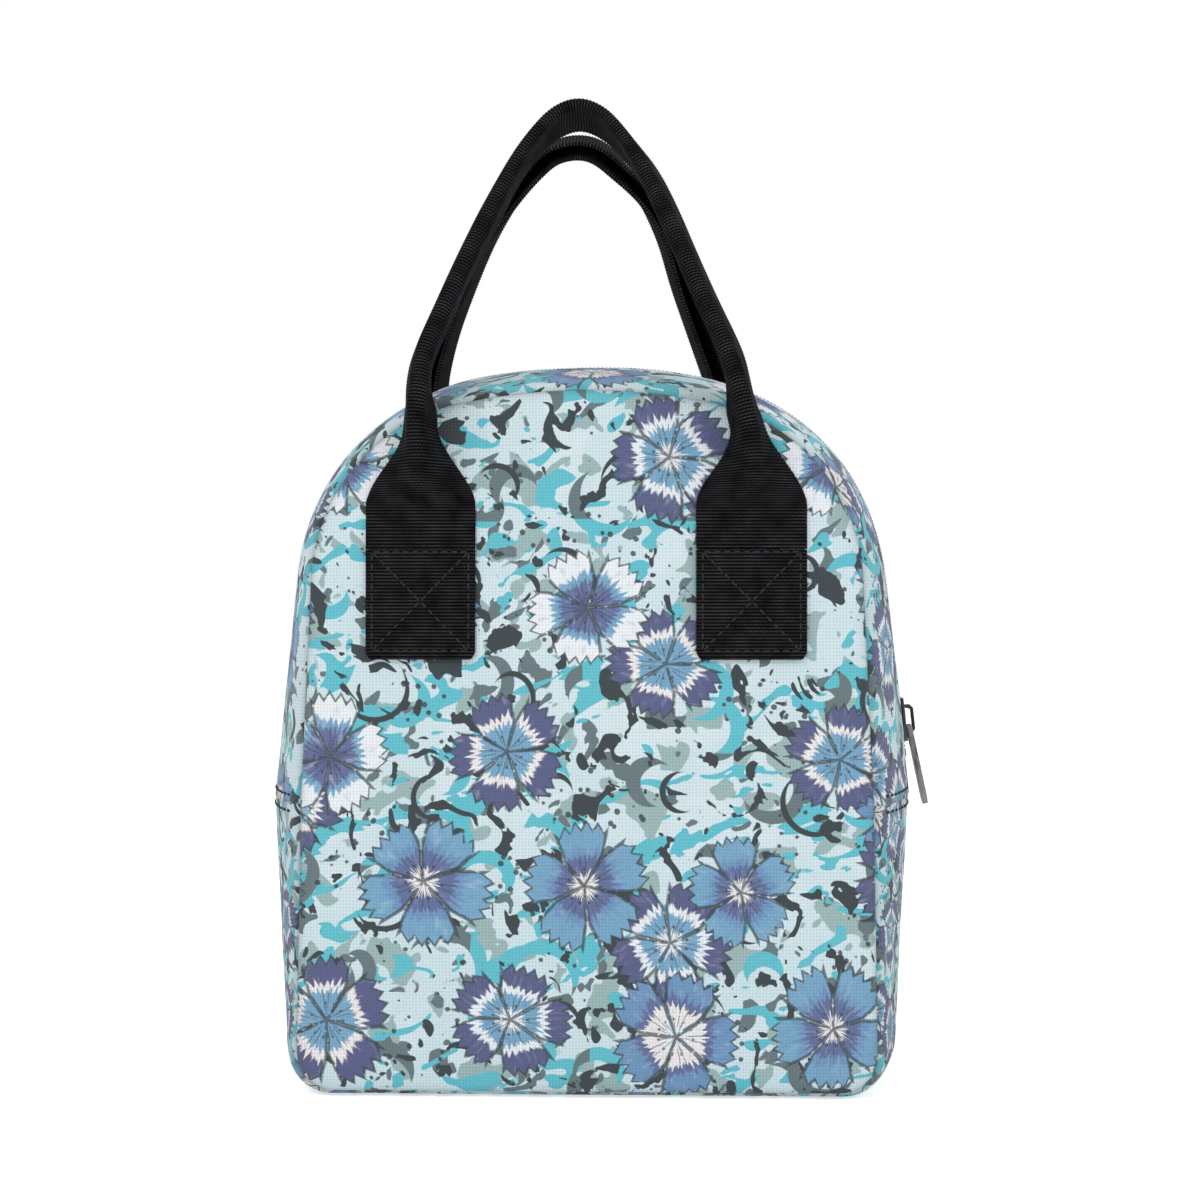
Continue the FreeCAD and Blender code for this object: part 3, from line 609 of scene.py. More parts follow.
def tube(name, centres, sides, radius, material):
    """A round wire along a line of points."""
    tangent = np.gradient(centres, axis=0)
    tangent /= np.linalg.norm(tangent, axis=1, keepdims=True)
    guide = np.cross(tangent, np.roll(tangent, 1, axis=0))
    guide[0] = guide[1]
    guide /= np.maximum(np.linalg.norm(guide, axis=1, keepdims=True), 1e-9)
    second = np.cross(tangent, guide)
    turn = np.linspace(0, 2 * math.pi, sides, endpoint=False)
    ring = np.cos(turn)[None, :, None] * guide[:, None, :] + np.sin(turn)[None, :, None] * second[:, None, :]
    points = centres[:, None, :] + ring * radius
    ids = np.arange(len(centres) * sides).reshape(len(centres), sides)
    faces = quads(np.concatenate([ids, ids[:, :1]], 1), False, False)
    faces += [ids[0].tolist(), ids[-1][::-1].tolist()]
    mesh = bpy.data.meshes.new(name)
    mesh.from_pydata(points.reshape(-1, 3).tolist(), [], faces)
    clean(mesh)
    return new_object(name, mesh, material)


def coil_line(grid, normals, side, start, end):
    """Helix of one half of the zip: flat loops that reach from the tape to just over the centre line."""
    place, normal, tangent, wanted = walk(grid, normals, start, end, 0.0, COIL_PITCH / COIL_TURN_POINTS)
    sideways = np.cross(tangent, normal)
    sideways *= np.sign(sideways[:, 1:2]) * SIGN[side]
    phase = wanted / COIL_PITCH * 2 * math.pi + (0 if side == "front" else math.pi)
    reach = (COIL_HALF + COIL_OVERLAP) / 2
    across = reach - COIL_OVERLAP + reach * np.cos(phase)
    lift = COIL_LIFT * (0.2 + np.sin(phase))
    swing = 0.22 * COIL_PITCH * np.sin(phase)
    return place + sideways * across[:, None] + normal * lift[:, None] + tangent * swing[:, None]


def zip_halves(grid, normals, finish):
    """Tapes and interlocking coils on both sides of the centre line."""
    start = index_at_height(grid, COIL_START)
    end = index_at_height(grid, COIL_START, right=False)
    for side in ("front", "back"):
        line = coil_line(grid, normals, side, start, end)
        coil = tube(f"{side}_coil", line, 6, COIL_WIRE, finish["coil"])
        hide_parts(f"{side}_zip_coil", "zip_coil_ends")
        to_flap(coil)
        zip_tape(side, grid, normals, finish)


def zip_tape(side, grid, normals, finish):
    """Woven tape under the strip's hem, from side seam to side seam."""
    across = np.sort(TAPE_ROWS * SIGN[side])
    rows = np.arange(SEAM_INDEX, LOOP_COUNT - SEAM_INDEX + 1)
    part = np.zeros((len(rows), len(across), 3))
    facing = np.zeros_like(part)
    for a, i in enumerate(rows):
        for b, y in enumerate(across):
            part[a, b], facing[a, b] = gusset_at(grid, normals, float(i), float(y))
    uv = flat_map(gusset_uv(grid)[rows, 0, 0], across)
    faces = [part - facing * depth for depth in (TAPE_LEVEL, TAPE_LEVEL + TAPE_THICKNESS)]
    piece = sheet(f"{side}_tape", *faces, uv, finish["tape"], False)
    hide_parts(f"{side}_zip_tape", "zip_tape_ends")
    to_flap(piece)


def copy_of(node, name, bevel, body, material):
    """A finished copy of a hard CAD part, with its sharp edges broken."""
    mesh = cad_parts[node].data.copy()
    mesh.materials.clear()
    work = bmesh.new()
    work.from_mesh(mesh)
    bmesh.ops.remove_doubles(work, verts=work.verts, dist=2e-6)
    bmesh.ops.dissolve_limit(work, angle_limit=math.radians(4), verts=work.verts, edges=work.edges)
    bmesh.ops.recalc_face_normals(work, faces=work.faces)
    for face in work.faces:
        face.smooth = True
    work.to_mesh(mesh)
    work.free()
    piece = new_object(name, mesh, material)
    edge = piece.modifiers.new("broken_edges", "BEVEL")
    edge.width = bevel
    edge.segments = 3
    edge.limit_method = "ANGLE"
    edge.angle_limit = math.radians(30)
    edge.harden_normals = False
    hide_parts(node)
    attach(piece, body)


def zip_hardware(finish):
    for node, name, bevel, body in (
        ("slider_body", "zip_slider_body", 0.3 * MM, "zip_slider"),
        ("slider_bridge", "zip_slider_bridge", 0.25 * MM, "zip_slider"),
        ("slider_pull", "zip_pull_tab", 0.35 * MM, "zip_pull"),
        ("zip_end_stops", "zip_stops", 0.3 * MM, "lower_bag"),
    ):
        copy_of(node, name, bevel, body, finish["metal"])


# ------------------------------------------------------------------ webbing handles

WEBBING_HALF = 19 * MM
WEBBING_THICK = 1.6 * MM
WEBBING_MIDDLE = -HALF_DEPTH - WEBBING_THICK / 2 - 0.1 * MM
RIB_PITCH = 1.17 * MM
RIB_RISE = 0.17 * MM
RIB_POINTS = 3
STRAP_S = np.array([0, 1, 2, 3.2, 5, 8, 11, 14, 16.5, 18.3, 19]) * MM
STRAP_S = np.concatenate([-STRAP_S[:0:-1], STRAP_S])
HANDLE_X = 57 * MM
PATCH_LOW = low("front_handle_anchors")[2]
SPLIT_Z = 189.3 * MM
FLAT_TOP = 204 * MM
PANEL_HOLD = 205 * MM  # above this height the panel curves away, and its depth is taken from here
NECK_Z = 232 * MM
LEAN_START = 244 * MM
LEG_ROLL = math.radians(15)
RIDGE_RADIUS = 2.4 * MM
APEX_RIDGE_RADIUS = 1.3 * MM
LEAN = math.radians(21.4)
# how each handle stands: sway of the legs and of the top, spread of the legs, rise and roll of the top
STANCES = {
    "front": (-3.6 * MM, -3.6 * MM, 0.0, 0.0, math.radians(-12)),
    "back": (-9.8 * MM, -6.7 * MM, 6.2 * MM, 3.4 * MM, math.radians(5)),
}


def smooth_step(value, start, end):
    t = np.clip((value - start) / (end - start), 0, 1)
    return t * t * (3 - 2 * t)


def ridge_points(leg_sway, top_sway, spread, rise):
    """The webbing's middle line from the right patch over the top to the left one, for the front.

    The sways move the legs and the top sideways, spread widens the legs and rise lifts the top.
    """
    patch = [(57, 186), (57, 192), (57, 198), (57, 203), (57, 208), (57, 213)]
    neck = [(56.9, 218), (56.7, 224), (56.3, 232), (54.6, 242), (51, 257), (43.4, 276)]
    slant = [(35.8, 295), (28, 313), (19.2, 331), (10.4, 343.6), (4.4, 348), (0, 349.2)]
    x, z = (np.array(patch + neck + slant) * MM).T
    folded = np.array([fold_depth(height) for height in z])
    y = WEBBING_MIDDLE - folded + np.maximum(z - LEAN_START, 0) * math.tan(LEAN)
    wider = spread * smooth_step(z, 0.225, 0.275) * (1 - 0.55 * smooth_step(z, 0.31, 0.347)) * (x > 0)
    right = np.stack([x + wider, y, z], 1)
    line = np.concatenate([right, right[-2::-1] * (-1, 1, 1)])
    heights = line[:, 2].copy()
    line[:, 0] += leg_sway * smooth_step(heights, 0.215, 0.27)
    line[:, 0] += (top_sway - leg_sway) * smooth_step(heights, 0.285, 0.335)
    line[:, 2] += rise * smooth_step(heights, LEAN_START, 0.34)
    return line


def visible_half(height):
    """Half the webbing's width seen from the front at a height: full on the panel, a neck, then folded."""
    half = WEBBING_HALF - (WEBBING_HALF - 5.4 * MM) * smooth_step(height, FLAT_TOP, NECK_Z)
    return half - 2.4 * MM * smooth_step(height, NECK_Z - 4 * MM, 0.262)


def ridge_radius(height):
    return RIDGE_RADIUS + (APEX_RIDGE_RADIUS - RIDGE_RADIUS) * smooth_step(height, 0.30, 0.345)


def fold_depth(height):
    """How far the folded webbing reaches back from its ridge."""
    radius = ridge_radius(height)
    angle = fold_angle(visible_half(height), radius)
    return radius * (1 - math.cos(angle)) + (WEBBING_HALF - radius * angle) * math.sin(angle)


def smooth_line(points, spacing):
    """Evenly spaced points on a smooth curve through the given ones."""
    ends = [2 * points[0] - points[1]], [2 * points[-1] - points[-2]]
    p = np.concatenate([ends[0], points, ends[1]])
    fine = []
    for i in range(1, len(p) - 2):
        t = np.linspace(0, 1, 60, endpoint=False)[:, None]
        m0, m1 = (p[i + 1] - p[i - 1]) / 2, (p[i + 2] - p[i]) / 2
        fine.append(
            (2 * t**3 - 3 * t**2 + 1) * p[i] + (t**3 - 2 * t**2 + t) * m0
            + (3 * t**2 - 2 * t**3) * p[i + 1] + (t**3 - t**2) * m1
        )
    fine = np.concatenate(fine + [p[-2:-1]])
    length = lengths_along(fine)
    wanted = np.arange(0, length[-1], spacing)
    return between(wanted, length, fine), wanted


def eased(line, reach):
    """The line with its kinks averaged out over a few points to each side."""
    weights = np.hanning(2 * reach + 3)[1:-1]
    weights /= weights.sum()
    padded = np.concatenate([np.repeat(line[:1], reach, 0), line, np.repeat(line[-1:], reach, 0)])
    return np.stack([np.convolve(padded[:, k], weights, "valid") for k in range(3)], 1)


def fold_angle(half_width, radius):
    """Angle each half is turned back by, for the folded webbing to look this wide from the front."""
    angle = 0.0
    for _ in range(12):
        share = (half_width - radius * math.sin(angle)) / (WEBBING_HALF - radius * angle)
        angle = math.acos(np.clip(share, -0.09, 1))
    return angle


def section(angle, radius, thickness):
    """Cross-section of the webbing: (sideways, backward) of both faces for one fold angle."""
    s = np.abs(STRAP_S)
    arc = min(angle, math.pi) * radius
    bend = np.minimum(s, arc) / radius
    rest = np.maximum(s - arc, 0)
    side = np.sign(STRAP_S) * (radius * np.sin(bend) + rest * math.cos(angle))
    back = radius * (1 - np.cos(bend)) + rest * math.sin(angle)
    turn = bend * np.sign(STRAP_S)
    normal = np.stack([np.sin(turn), -np.cos(turn)], 1)
    half = np.full(len(s), thickness / 2)
    half[[0, -1]] *= 0.45
    middle = np.stack([side, back], 1)
    return middle + normal * half[:, None], middle - normal * half[:, None]


def strap_frames(line, along, roll):
    """Sideways and forward directions along the webbing; forward leans with the loop and rolls on the way."""
    tangent = np.gradient(line, axis=0)
    tangent /= np.linalg.norm(tangent, axis=1, keepdims=True)
    height = line[:, 2]
    lean = LEAN * smooth_step(height, LEAN_START - 16 * MM, LEAN_START + 10 * MM)
    forward = np.stack([np.zeros(len(line)), -np.cos(lean), np.sin(lean)], 1)
    square = smooth_step(height, NECK_Z - 6 * MM, LEAN_START + 10 * MM)[:, None]
    forward -= tangent * np.sum(forward * tangent, axis=1, keepdims=True) * square
    forward /= np.linalg.norm(forward, axis=1, keepdims=True)
    sideways = np.cross(forward, tangent)
    sideways /= np.linalg.norm(sideways, axis=1, keepdims=True)
    from_apex = np.abs(along - along[int(np.argmax(height))])
    near_apex = 1 - smooth_step(from_apex, 6 * MM, 60 * MM)
    legs = smooth_step(height, LEAN_START - 8 * MM, 0.262) * (1 - near_apex)
    wiggle = np.array([wave((x * 3, y, z), 60 * MM, 5) for x, y, z in line]) * math.radians(5)
    turn = roll * near_apex * (height > LEAN_START) - LEG_ROLL * legs
    turn = (turn + wiggle * smooth_step(height, LEAN_START, 0.27))[:, None]
    rolled = forward * np.cos(turn) + np.cross(tangent, forward) * np.sin(turn)
    across = sideways * np.cos(turn) + np.cross(tangent, sideways) * np.sin(turn)
    return across, rolled


def strap_grid(line, along, roll, narrow=None):
    """Outer and inner faces of a stretch of webbing with its cross ribs."""
    across, forward = strap_frames(line, along, roll)
    outer = np.zeros((len(line), len(STRAP_S), 3))
    inner = np.zeros_like(outer)
    for i, place in enumerate(line):
        z = place[2]
        radius = ridge_radius(z)
        rib = RIB_RISE * math.cos(2 * math.pi * along[i] / RIB_PITCH)
        faces = section(fold_angle(visible_half(z), radius), radius, WEBBING_THICK + 2 * rib)
        for grid, face in zip((outer, inner), faces):
            sides = face[:, 0:1] * (narrow[i] if narrow is not None else 1)
            grid[i] = place + across[i] * sides - forward[i] * face[:, 1:2]
    return outer, inner


def panel_face(side):
    """A function giving the y of a panel's face at (x, z), with the back panel turned to the front."""
    mesh = bpy.data.objects[f"{side}_panel"].data
    turn = Vector((1, -SIGN[side], 1))
    tree = BVHTree.FromPolygons([v.co * turn for v in mesh.vertices], [p.vertices for p in mesh.polygons])

    def depth(x, z):
        hit = tree.ray_cast(Vector((x, -0.2, z)), Vector((0, 1, 0)))[0]
        return hit.y if hit else -HALF_DEPTH

    return depth


def lay_on_panel(grid, depth, start, end):
    """Rest the webbing on the panel's swell below start and let it go from there up to end."""
    for point in grid.reshape(-1, 3):
        hold = 1 - smooth_step(point[2], start, end)
        if hold > 0:
            point[1] += (depth(point[0], min(point[2], PANEL_HOLD)) + HALF_DEPTH) * hold


def webbing_piece(name, side, grids, along, finish):
    """A sheet of webbing from its grids at the front, turned to its own side of the bag."""
    turned = [grid * np.array([1, -SIGN[side], 1]) for grid in grids]
    piece = sheet(name, *turned, flat_map(along, STRAP_S)[:, :, ::-1], finish["webbing"])
    return piece


def patches(side, depth, finish):
    """Both sewn ends of one handle."""
    count = int((SPLIT_Z - PATCH_LOW) / RIB_PITCH * RIB_POINTS)
    z = np.linspace(PATCH_LOW, SPLIT_Z, count + 1)
    along = z - SPLIT_Z
    rounding = 1 - 0.11 * (1 - np.sqrt(np.clip((z - PATCH_LOW) / (2.5 * MM), 0.02, 1)))
    for x, label in ((HANDLE_X, "right"), (-HANDLE_X, "left")):
        line = np.stack([np.full(count + 1, x), np.full(count + 1, WEBBING_MIDDLE), z], 1)
        grids = strap_grid(line, along, 0.0, rounding)
        for grid in grids:
            lay_on_panel(grid, depth, 0.5, 0.6)
        piece = webbing_piece(f"{side}_patch_{label}", side, grids, along, finish)
        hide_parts(f"{side}_handle_anchors")
        to_flap(piece)


def loop_of_webbing(side, depth, finish):
    """The handle's legs and arch in one piece, from the top of the sewn patches."""
    *stance, roll = STANCES[side]
    rough_line = smooth_line(ridge_points(*stance), 1 * MM)[0]
    line, along = smooth_line(eased(rough_line, 5), RIB_PITCH / RIB_POINTS)
    keep = line[:, 2] >= SPLIT_Z
    line, along = line[keep], along[keep]
    grids = strap_grid(line, along, roll)
    for grid in grids:
        lay_on_panel(grid, depth, SPLIT_Z + 1 * MM, 0.212)
    piece = webbing_piece(f"{side}_handle_loop", side, grids, along, finish)
    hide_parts(f"{side}_handle")
    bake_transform(piece)


# ------------------------------------------------------------------ stitches

BOX_HALF = 16.75 * MM
BOX_RISE = (3 * MM, 37 * MM)
BOX_PITCH = 3.2 * MM
THREAD_LEVEL = 0.28 * MM


def stitch_shape():
    """Points and faces of one stitch, one metre long, wide and high, to be scaled."""
    work = bmesh.new()
    bmesh.ops.create_uvsphere(work, u_segments=8, v_segments=6, radius=0.5)
    for vert in work.verts:
        vert.co = Vector((vert.co.z, vert.co.x, vert.co.y))
        vert.co.x = math.copysign(abs(vert.co.x * 2) ** 0.75 / 2, vert.co.x)
    points = np.array([tuple(v.co) for v in work.verts])
    faces = [[v.index for v in f.verts] for f in work.faces]
    work.free()
    return points, faces


def stitches(name, spots, length, width, height, material):
    """One object with a stitch at each spot: (place, direction, outward normal)."""
    shape, shape_faces = stitch_shape()
    points, faces = [], []
    for place, direction, normal in spots:
        direction = direction - normal * np.dot(direction, normal)
        direction = direction / np.linalg.norm(direction)
        side = np.cross(normal, direction)
        base = len(points)
        axes = np.stack([direction * length, side * width, normal * height])
        points += (np.array(place) + shape @ axes).tolist()
        faces += [[base + v for v in face] for face in shape_faces]
    mesh = bpy.data.meshes.new(name)
    mesh.from_pydata(points, [], faces)
    clean(mesh)
    return new_object(name, mesh, material)


SIDE_ROW_OFFSET = 2.8 * MM
SIDE_ROW_HALF = 52 * MM
SIDE_PITCH = 4.4 * MM


def side_rows(grid, normals, finish):
    """Two rows of heavy thread beside each side seam."""
    spots = []
    for right in (True, False):
        for offset_z in (-SIDE_ROW_OFFSET, SIDE_ROW_OFFSET):
            index = index_at_height(grid, SEAM_Z + offset_z, right)
            count = int(2 * SIDE_ROW_HALF / SIDE_PITCH)
            for y in np.linspace(-SIDE_ROW_HALF, SIDE_ROW_HALF, count + 1):
                place, normal = gusset_at(grid, normals, index, y)
                spots.append((place + normal * 0.05 * MM, np.array([0, 1.0, 0]), normal))
    piece = stitches("side_stitches", spots, 3.1 * MM, 1.1 * MM, 0.9 * MM, finish["thread"])
    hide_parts("side_seam_stitching")
    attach(piece, "lower_bag")


def box_and_cross(side, depth, finish):
    """Rows of thread in a box with two diagonals on both patches of one handle."""
    bottom, top = (PATCH_LOW + rise for rise in BOX_RISE)
    turn = np.array([1, -SIGN[side], 1])
    spots = []
    for middle in (HANDLE_X, -HANDLE_X):
        left, right = middle - BOX_HALF, middle + BOX_HALF
        corners = np.array([(left, bottom), (right, bottom), (right, top), (left, top)])
        for a, b in ((0, 1), (1, 2), (2, 3), (3, 0), (0, 2), (1, 3)):
            start, run = corners[a], corners[b] - corners[a]
            count = int(np.linalg.norm(run) / BOX_PITCH)
            for k in range(count):
                x, z = start + run * (k + 0.5) / count
                y = depth(x, z) - WEBBING_THICK - THREAD_LEVEL
                spot = np.array([(x, y, z), (run[0], 0, run[1]), (0, -1, 0)])
                spots.append(tuple(spot * turn))
    piece = stitches(f"{side}_patch_stitches", spots, 2.5 * MM, 0.8 * MM, 0.6 * MM, finish["thread"])
    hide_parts(f"{side}_anchor_stitching")
    to_flap(piece)


# ------------------------------------------------------------------ node maths for the materials


def operation(kind):
    """A method that applies one kind of math node to a field and the fields or numbers given."""

    def apply(self, *others):
        node = self.tree.nodes.new("ShaderNodeMath")
        node.operation = kind
        for slot_in, term in zip(node.inputs, (self,) + others):
            plug(self.tree, slot_in, term)
        return Field(self.tree, node.outputs[0])

    return apply


class Field:
    """A number that varies over a surface, so that materials can be written as sums."""

    __add__ = __radd__ = operation("ADD")
    __sub__ = operation("SUBTRACT")
    __mul__ = __rmul__ = operation("MULTIPLY")
    __truediv__ = operation("DIVIDE")
    abs = operation("ABSOLUTE")
    floor = operation("FLOOR")
    sin = operation("SINE")
    cos = operation("COSINE")
    arctan2 = operation("ARCTAN2")
    power = operation("POWER")
    least = operation("MINIMUM")
    most = operation("MAXIMUM")
    wrap = operation("FLOORED_MODULO")
    pingpong = operation("PINGPONG")

    def __init__(self, tree, socket):
        self.tree = tree
        self.socket = socket

    def __rsub__(self, other):
        return self * -1.0 + other

    def step(self, start, end):
        """0 before start and 1 beyond end, smooth between; start may be the larger of the two."""
        node = self.tree.nodes.new("ShaderNodeMapRange")
        node.interpolation_type = "SMOOTHSTEP"
        plug(self.tree, node.inputs[0], self)
        ends = (0, 1) if start < end else (1, 0)
        for number, amount in enumerate((min(start, end), max(start, end), *ends), 1):
            node.inputs[number].default_value = amount
        return Field(self.tree, node.outputs[0])


def plug(tree, slot_in, term):
    """Feed a socket from a field, from another socket or with a plain value."""
    if isinstance(term, Field):
        tree.links.new(term.socket, slot_in)
    elif hasattr(term, "is_output"):
        tree.links.new(term, slot_in)
    else:
        slot_in.default_value = term


def joined(x, y, z=0.0):
    """A vector from up to three fields."""
    tree = next(t.tree for t in (x, y, z) if isinstance(t, Field))
    node = tree.nodes.new("ShaderNodeCombineXYZ")
    for slot_in, term in zip(node.inputs, (x, y, z)):
        plug(tree, slot_in, term)
    return node.outputs[0]


def cloth_place(tree):
    """The cloth's own coordinates in millimetres, as two fields."""
    uv = tree.nodes.new("ShaderNodeUVMap")
    uv.uv_map = "cloth"
    split = tree.nodes.new("ShaderNodeSeparateXYZ")
    tree.links.new(uv.outputs[0], split.inputs[0])
    return Field(tree, split.outputs[0]) * 1000.0, Field(tree, split.outputs[1]) * 1000.0


def solid_place(tree):
    """Object coordinates."""
    return tree.nodes.new("ShaderNodeTexCoord").outputs["Object"]


def noise_field(tree, vector, scale, detail=2.0, distortion=0.0):
    node = tree.nodes.new("ShaderNodeTexNoise")
    node.noise_dimensions = "3D"
    for name, term in (("Vector", vector), ("Scale", scale), ("Detail", detail), ("Distortion", distortion)):
        plug(tree, node.inputs[name], term)
    return Field(tree, node.outputs[0])


def random_field(x, y, seed):
    """A random number from 0 to 1 for each whole-number pair."""
    node = x.tree.nodes.new("ShaderNodeTexWhiteNoise")
    node.noise_dimensions = "3D"
    plug(x.tree, node.inputs["Vector"], joined(x, y, seed))
    return Field(x.tree, node.outputs[0])


def tint(red, green, blue):
    """Linear colour from its usual 0 to 255 values."""
    values = [c / 255 for c in (red, green, blue)]
    return tuple(((c + 0.055) / 1.055) ** 2.4 if c > 0.04045 else c / 12.92 for c in values) + (1.0,)


def mixed(tree, amount, first, second, kind="MIX"):
    """Colour between first and second; amount is a field or a number."""
    node = tree.nodes.new("ShaderNodeMix")
    node.data_type = "RGBA"
    node.blend_type = kind
    for slot_in, term in ((node.inputs["Factor"], amount), (node.inputs[6], first), (node.inputs[7], second)):
        plug(tree, slot_in, term)
    return node.outputs[2]


def chosen(tree, pick, colours):
    """One of several colours, by a field from 0 to 1."""
    node = tree.nodes.new("ShaderNodeValToRGB")
    ramp = node.color_ramp
    ramp.interpolation = "CONSTANT"
    plug(tree, node.inputs[0], pick)
    for number, colour in enumerate(colours):
        stop = ramp.elements[number] if number < 2 else ramp.elements.new(number / len(colours))
        stop.position = number / len(colours)
        stop.color = colour
    return node.outputs[0]


def new_material(name, rough, metallic=0.0, sheen=0.0):
    material = bpy.data.materials.new(name)
    material.use_nodes = True
    surface = material.node_tree.nodes["Principled BSDF"]
    surface.inputs["Roughness"].default_value = rough
    surface.inputs["Metallic"].default_value = metallic
    surface.inputs["Sheen Weight"].default_value = sheen
    return material, material.node_tree, surface


def finish_off(tree, surface, colour, height, distance, strength, rough=None):
    """Give a surface its colour, its relief and, if wanted, its varying roughness."""
    plug(tree, surface.inputs["Base Color"], colour)
    if rough is not None:
        plug(tree, surface.inputs["Roughness"], rough)
    node = tree.nodes.new("ShaderNodeBump")
    for name, term in (("Strength", strength), ("Distance", distance), ("Height", height)):
        plug(tree, node.inputs[name], term)
    tree.links.new(node.outputs[0], surface.inputs["Normal"])


# ------------------------------------------------------------------ the floral print, in millimetres

GROUND = tint(208, 228, 234)
TEAL = tint(98, 193, 208)
SAGE = tint(158, 184, 184)
SLATE = tint(104, 122, 126)
CHARCOAL = tint(58, 68, 72)
LIGHT_BLUE = tint(120, 168, 200)
CORNFLOWER = tint(112, 152, 192)
PERIWINKLE = tint(100, 112, 156)
PURPLE = tint(90, 96, 136)
WHITE = tint(236, 241, 246)
OFF_WHITE = tint(240, 236, 236)
FRINGE = tint(88, 93, 138)

# one row for each kind of flower: petals, ring, burst and heart
FLOWER_COLOURS = (
    (LIGHT_BLUE, CORNFLOWER, PERIWINKLE, OFF_WHITE),
    (PURPLE, OFF_WHITE, LIGHT_BLUE, LIGHT_BLUE),
    (CORNFLOWER, PERIWINKLE, OFF_WHITE, WHITE),
    (WHITE, LIGHT_BLUE, PERIWINKLE, PURPLE),
    (PURPLE, WHITE, LIGHT_BLUE, WHITE),
)
# lattices of flowers, the later one on top: cell width and height, seed, shift and share of empty cells
FLOWER_LAYERS = ((54.0, 50.0, 80.0, 26.0, 0.78), (58.0, 49.0, 3.0, 0.0, 0.08))
FLOWER_RADIUS = 20.5
WEAVE_PITCH = 1.15


def lattice(x, y, wide, high, seed):
    """Cell numbers and the place relative to a jittered centre in a brick lattice."""
    row = (y / high).floor()
    shifted = x / wide + row.wrap(2.0) * 0.5
    column = shifted.floor()
    jitter_x = (random_field(column, row, seed) - 0.5) * 9.0
    jitter_y = (random_field(column, row, seed + 1.0) - 0.5) * 7.0
    local_x = (shifted - column - 0.5) * wide - jitter_x
    local_y = (y / high - row - 0.5) * high - jitter_y
    return column, row, local_x, local_y


def petal_place(column, row, local_x, local_y, wobble, seed):
    """Distance along the nearest petal and sideways from its midline, both in flower radii."""
    size = random_field(column, row, seed + 3.0) * 0.22 + 0.9
    radius = (local_x * local_x + local_y * local_y).power(0.5) / (size * FLOWER_RADIUS)
    turn = local_y.arctan2(local_x) + random_field(column, row, seed + 4.0) * 6.28
    fifth = 2 * math.pi / 5
    inside = turn.wrap(fifth) - fifth / 2
    along = radius * inside.cos() + wobble * 0.07
    sideways = radius * inside.sin() + wobble * 0.05
    return along, sideways, turn, radius


def petal_depth(along, sideways):
    """How far inside a petal a place is; below zero is outside."""
    half_width = (along * 0.67).least(along * 0.29 + 0.165)
    lobes = (sideways * 5.6 + 0.5).pingpong(0.5) * 0.26
    tip = 0.96 + along * 0.03 - sideways * sideways * 0.7 - lobes
    return (half_width - sideways.abs()).least(tip - along)


def ragged(tree, along, turn, radius):
    """Distance along the petal with a brushed, ragged edge."""
    ray = joined(turn.cos() * 5.5, turn.sin() * 5.5, radius * 0.9)
    zigzag = (turn * 5.7).pingpong(0.5) - 0.25
    return along + (noise_field(tree, ray, 2.2, 1.0) - 0.5) * 0.30 + zigzag * 0.16


def flower_colour(tree, column, row, parts, seed):
    """Colour of a flower: heart, burst, ring and petals, by the flower's kind."""
    along, sideways, turn, radius = parts
    kind = random_field(column, row, seed + 6.0)
    petals, ring, burst, heart = (chosen(tree, kind, colours) for colours in zip(*FLOWER_COLOURS))
    rough_along = ragged(tree, along, turn, radius)
    colour = mixed(tree, rough_along.step(0.60, 0.54), petals, ring)
    colour = mixed(tree, rough_along.step(0.45, 0.42), colour, burst)
    colour = mixed(tree, rough_along.step(0.20, 0.17), colour, heart)
    wash = noise_field(tree, joined(along * 2.2, sideways * 7.0, column * 3.7 + row), 1.6, 3.0)
    colour = mixed(tree, wash.step(0.52, 0.8) * 0.22, colour, WHITE)
    return mixed(tree, wash.step(0.46, 0.22) * 0.25, colour, FRINGE)


def flower_lines(parts, depth):
    """Ink of a flower: petal edges, a vein or two, and the stamens."""
    along, sideways, turn, radius = parts
    edge = depth.abs().step(0.036, 0.018)
    vein = (sideways.abs() - along * 0.12).abs().step(0.014, 0.006)
    vein = vein * along.step(0.12, 0.2) * along.step(0.55, 0.4)
    spoke = (turn * 5.5).sin().abs()
    spokes = spoke.step(0.30, 0.12) * radius.step(0.24, 0.2) * radius.step(0.05, 0.08)
    dots = spoke.step(0.5, 0.3) * (radius - 0.26).abs().step(0.035, 0.018)
    return edge.most(vein * 0.7).most(spokes).most(dots * depth.step(-0.05, 0.0))


def blot(tree, x, y, size, seed, start, end, stretch=1.0, angle=0.0, detail=3.0, distortion=0.4):
    """Patches of noise of a size in millimetres, drawn out along an angle."""
    c, s = math.cos(angle), math.sin(angle)
    along, across = x * c + y * s, y * c - x * s
    spot = joined(along / (size * stretch), across / size, seed)
    return noise_field(tree, spot, 1.0, detail, distortion).step(start, end)


def rings(x, y, seed, wide, high, thick=2.6):
    """Partial brushed rings in most of the cells of a lattice, thick at one end."""
    column, row, local_x, local_y = lattice(x + 21.0, y + 17.0, wide, high, seed)
    size = random_field(column, row, seed + 2.0) * 6.5 + 5.5
    far = (local_x * local_x + local_y * local_y).power(0.5)
    start = random_field(column, row, seed + 5.0) * 6.28
    sweep = (local_y.arctan2(local_x) + start).sin()
    band = (sweep.step(-0.5, 1.0) * thick - (far - size).abs()).step(0.0, 0.35)
    return band * random_field(column, row, seed + 6.0).step(0.12, 0.121)


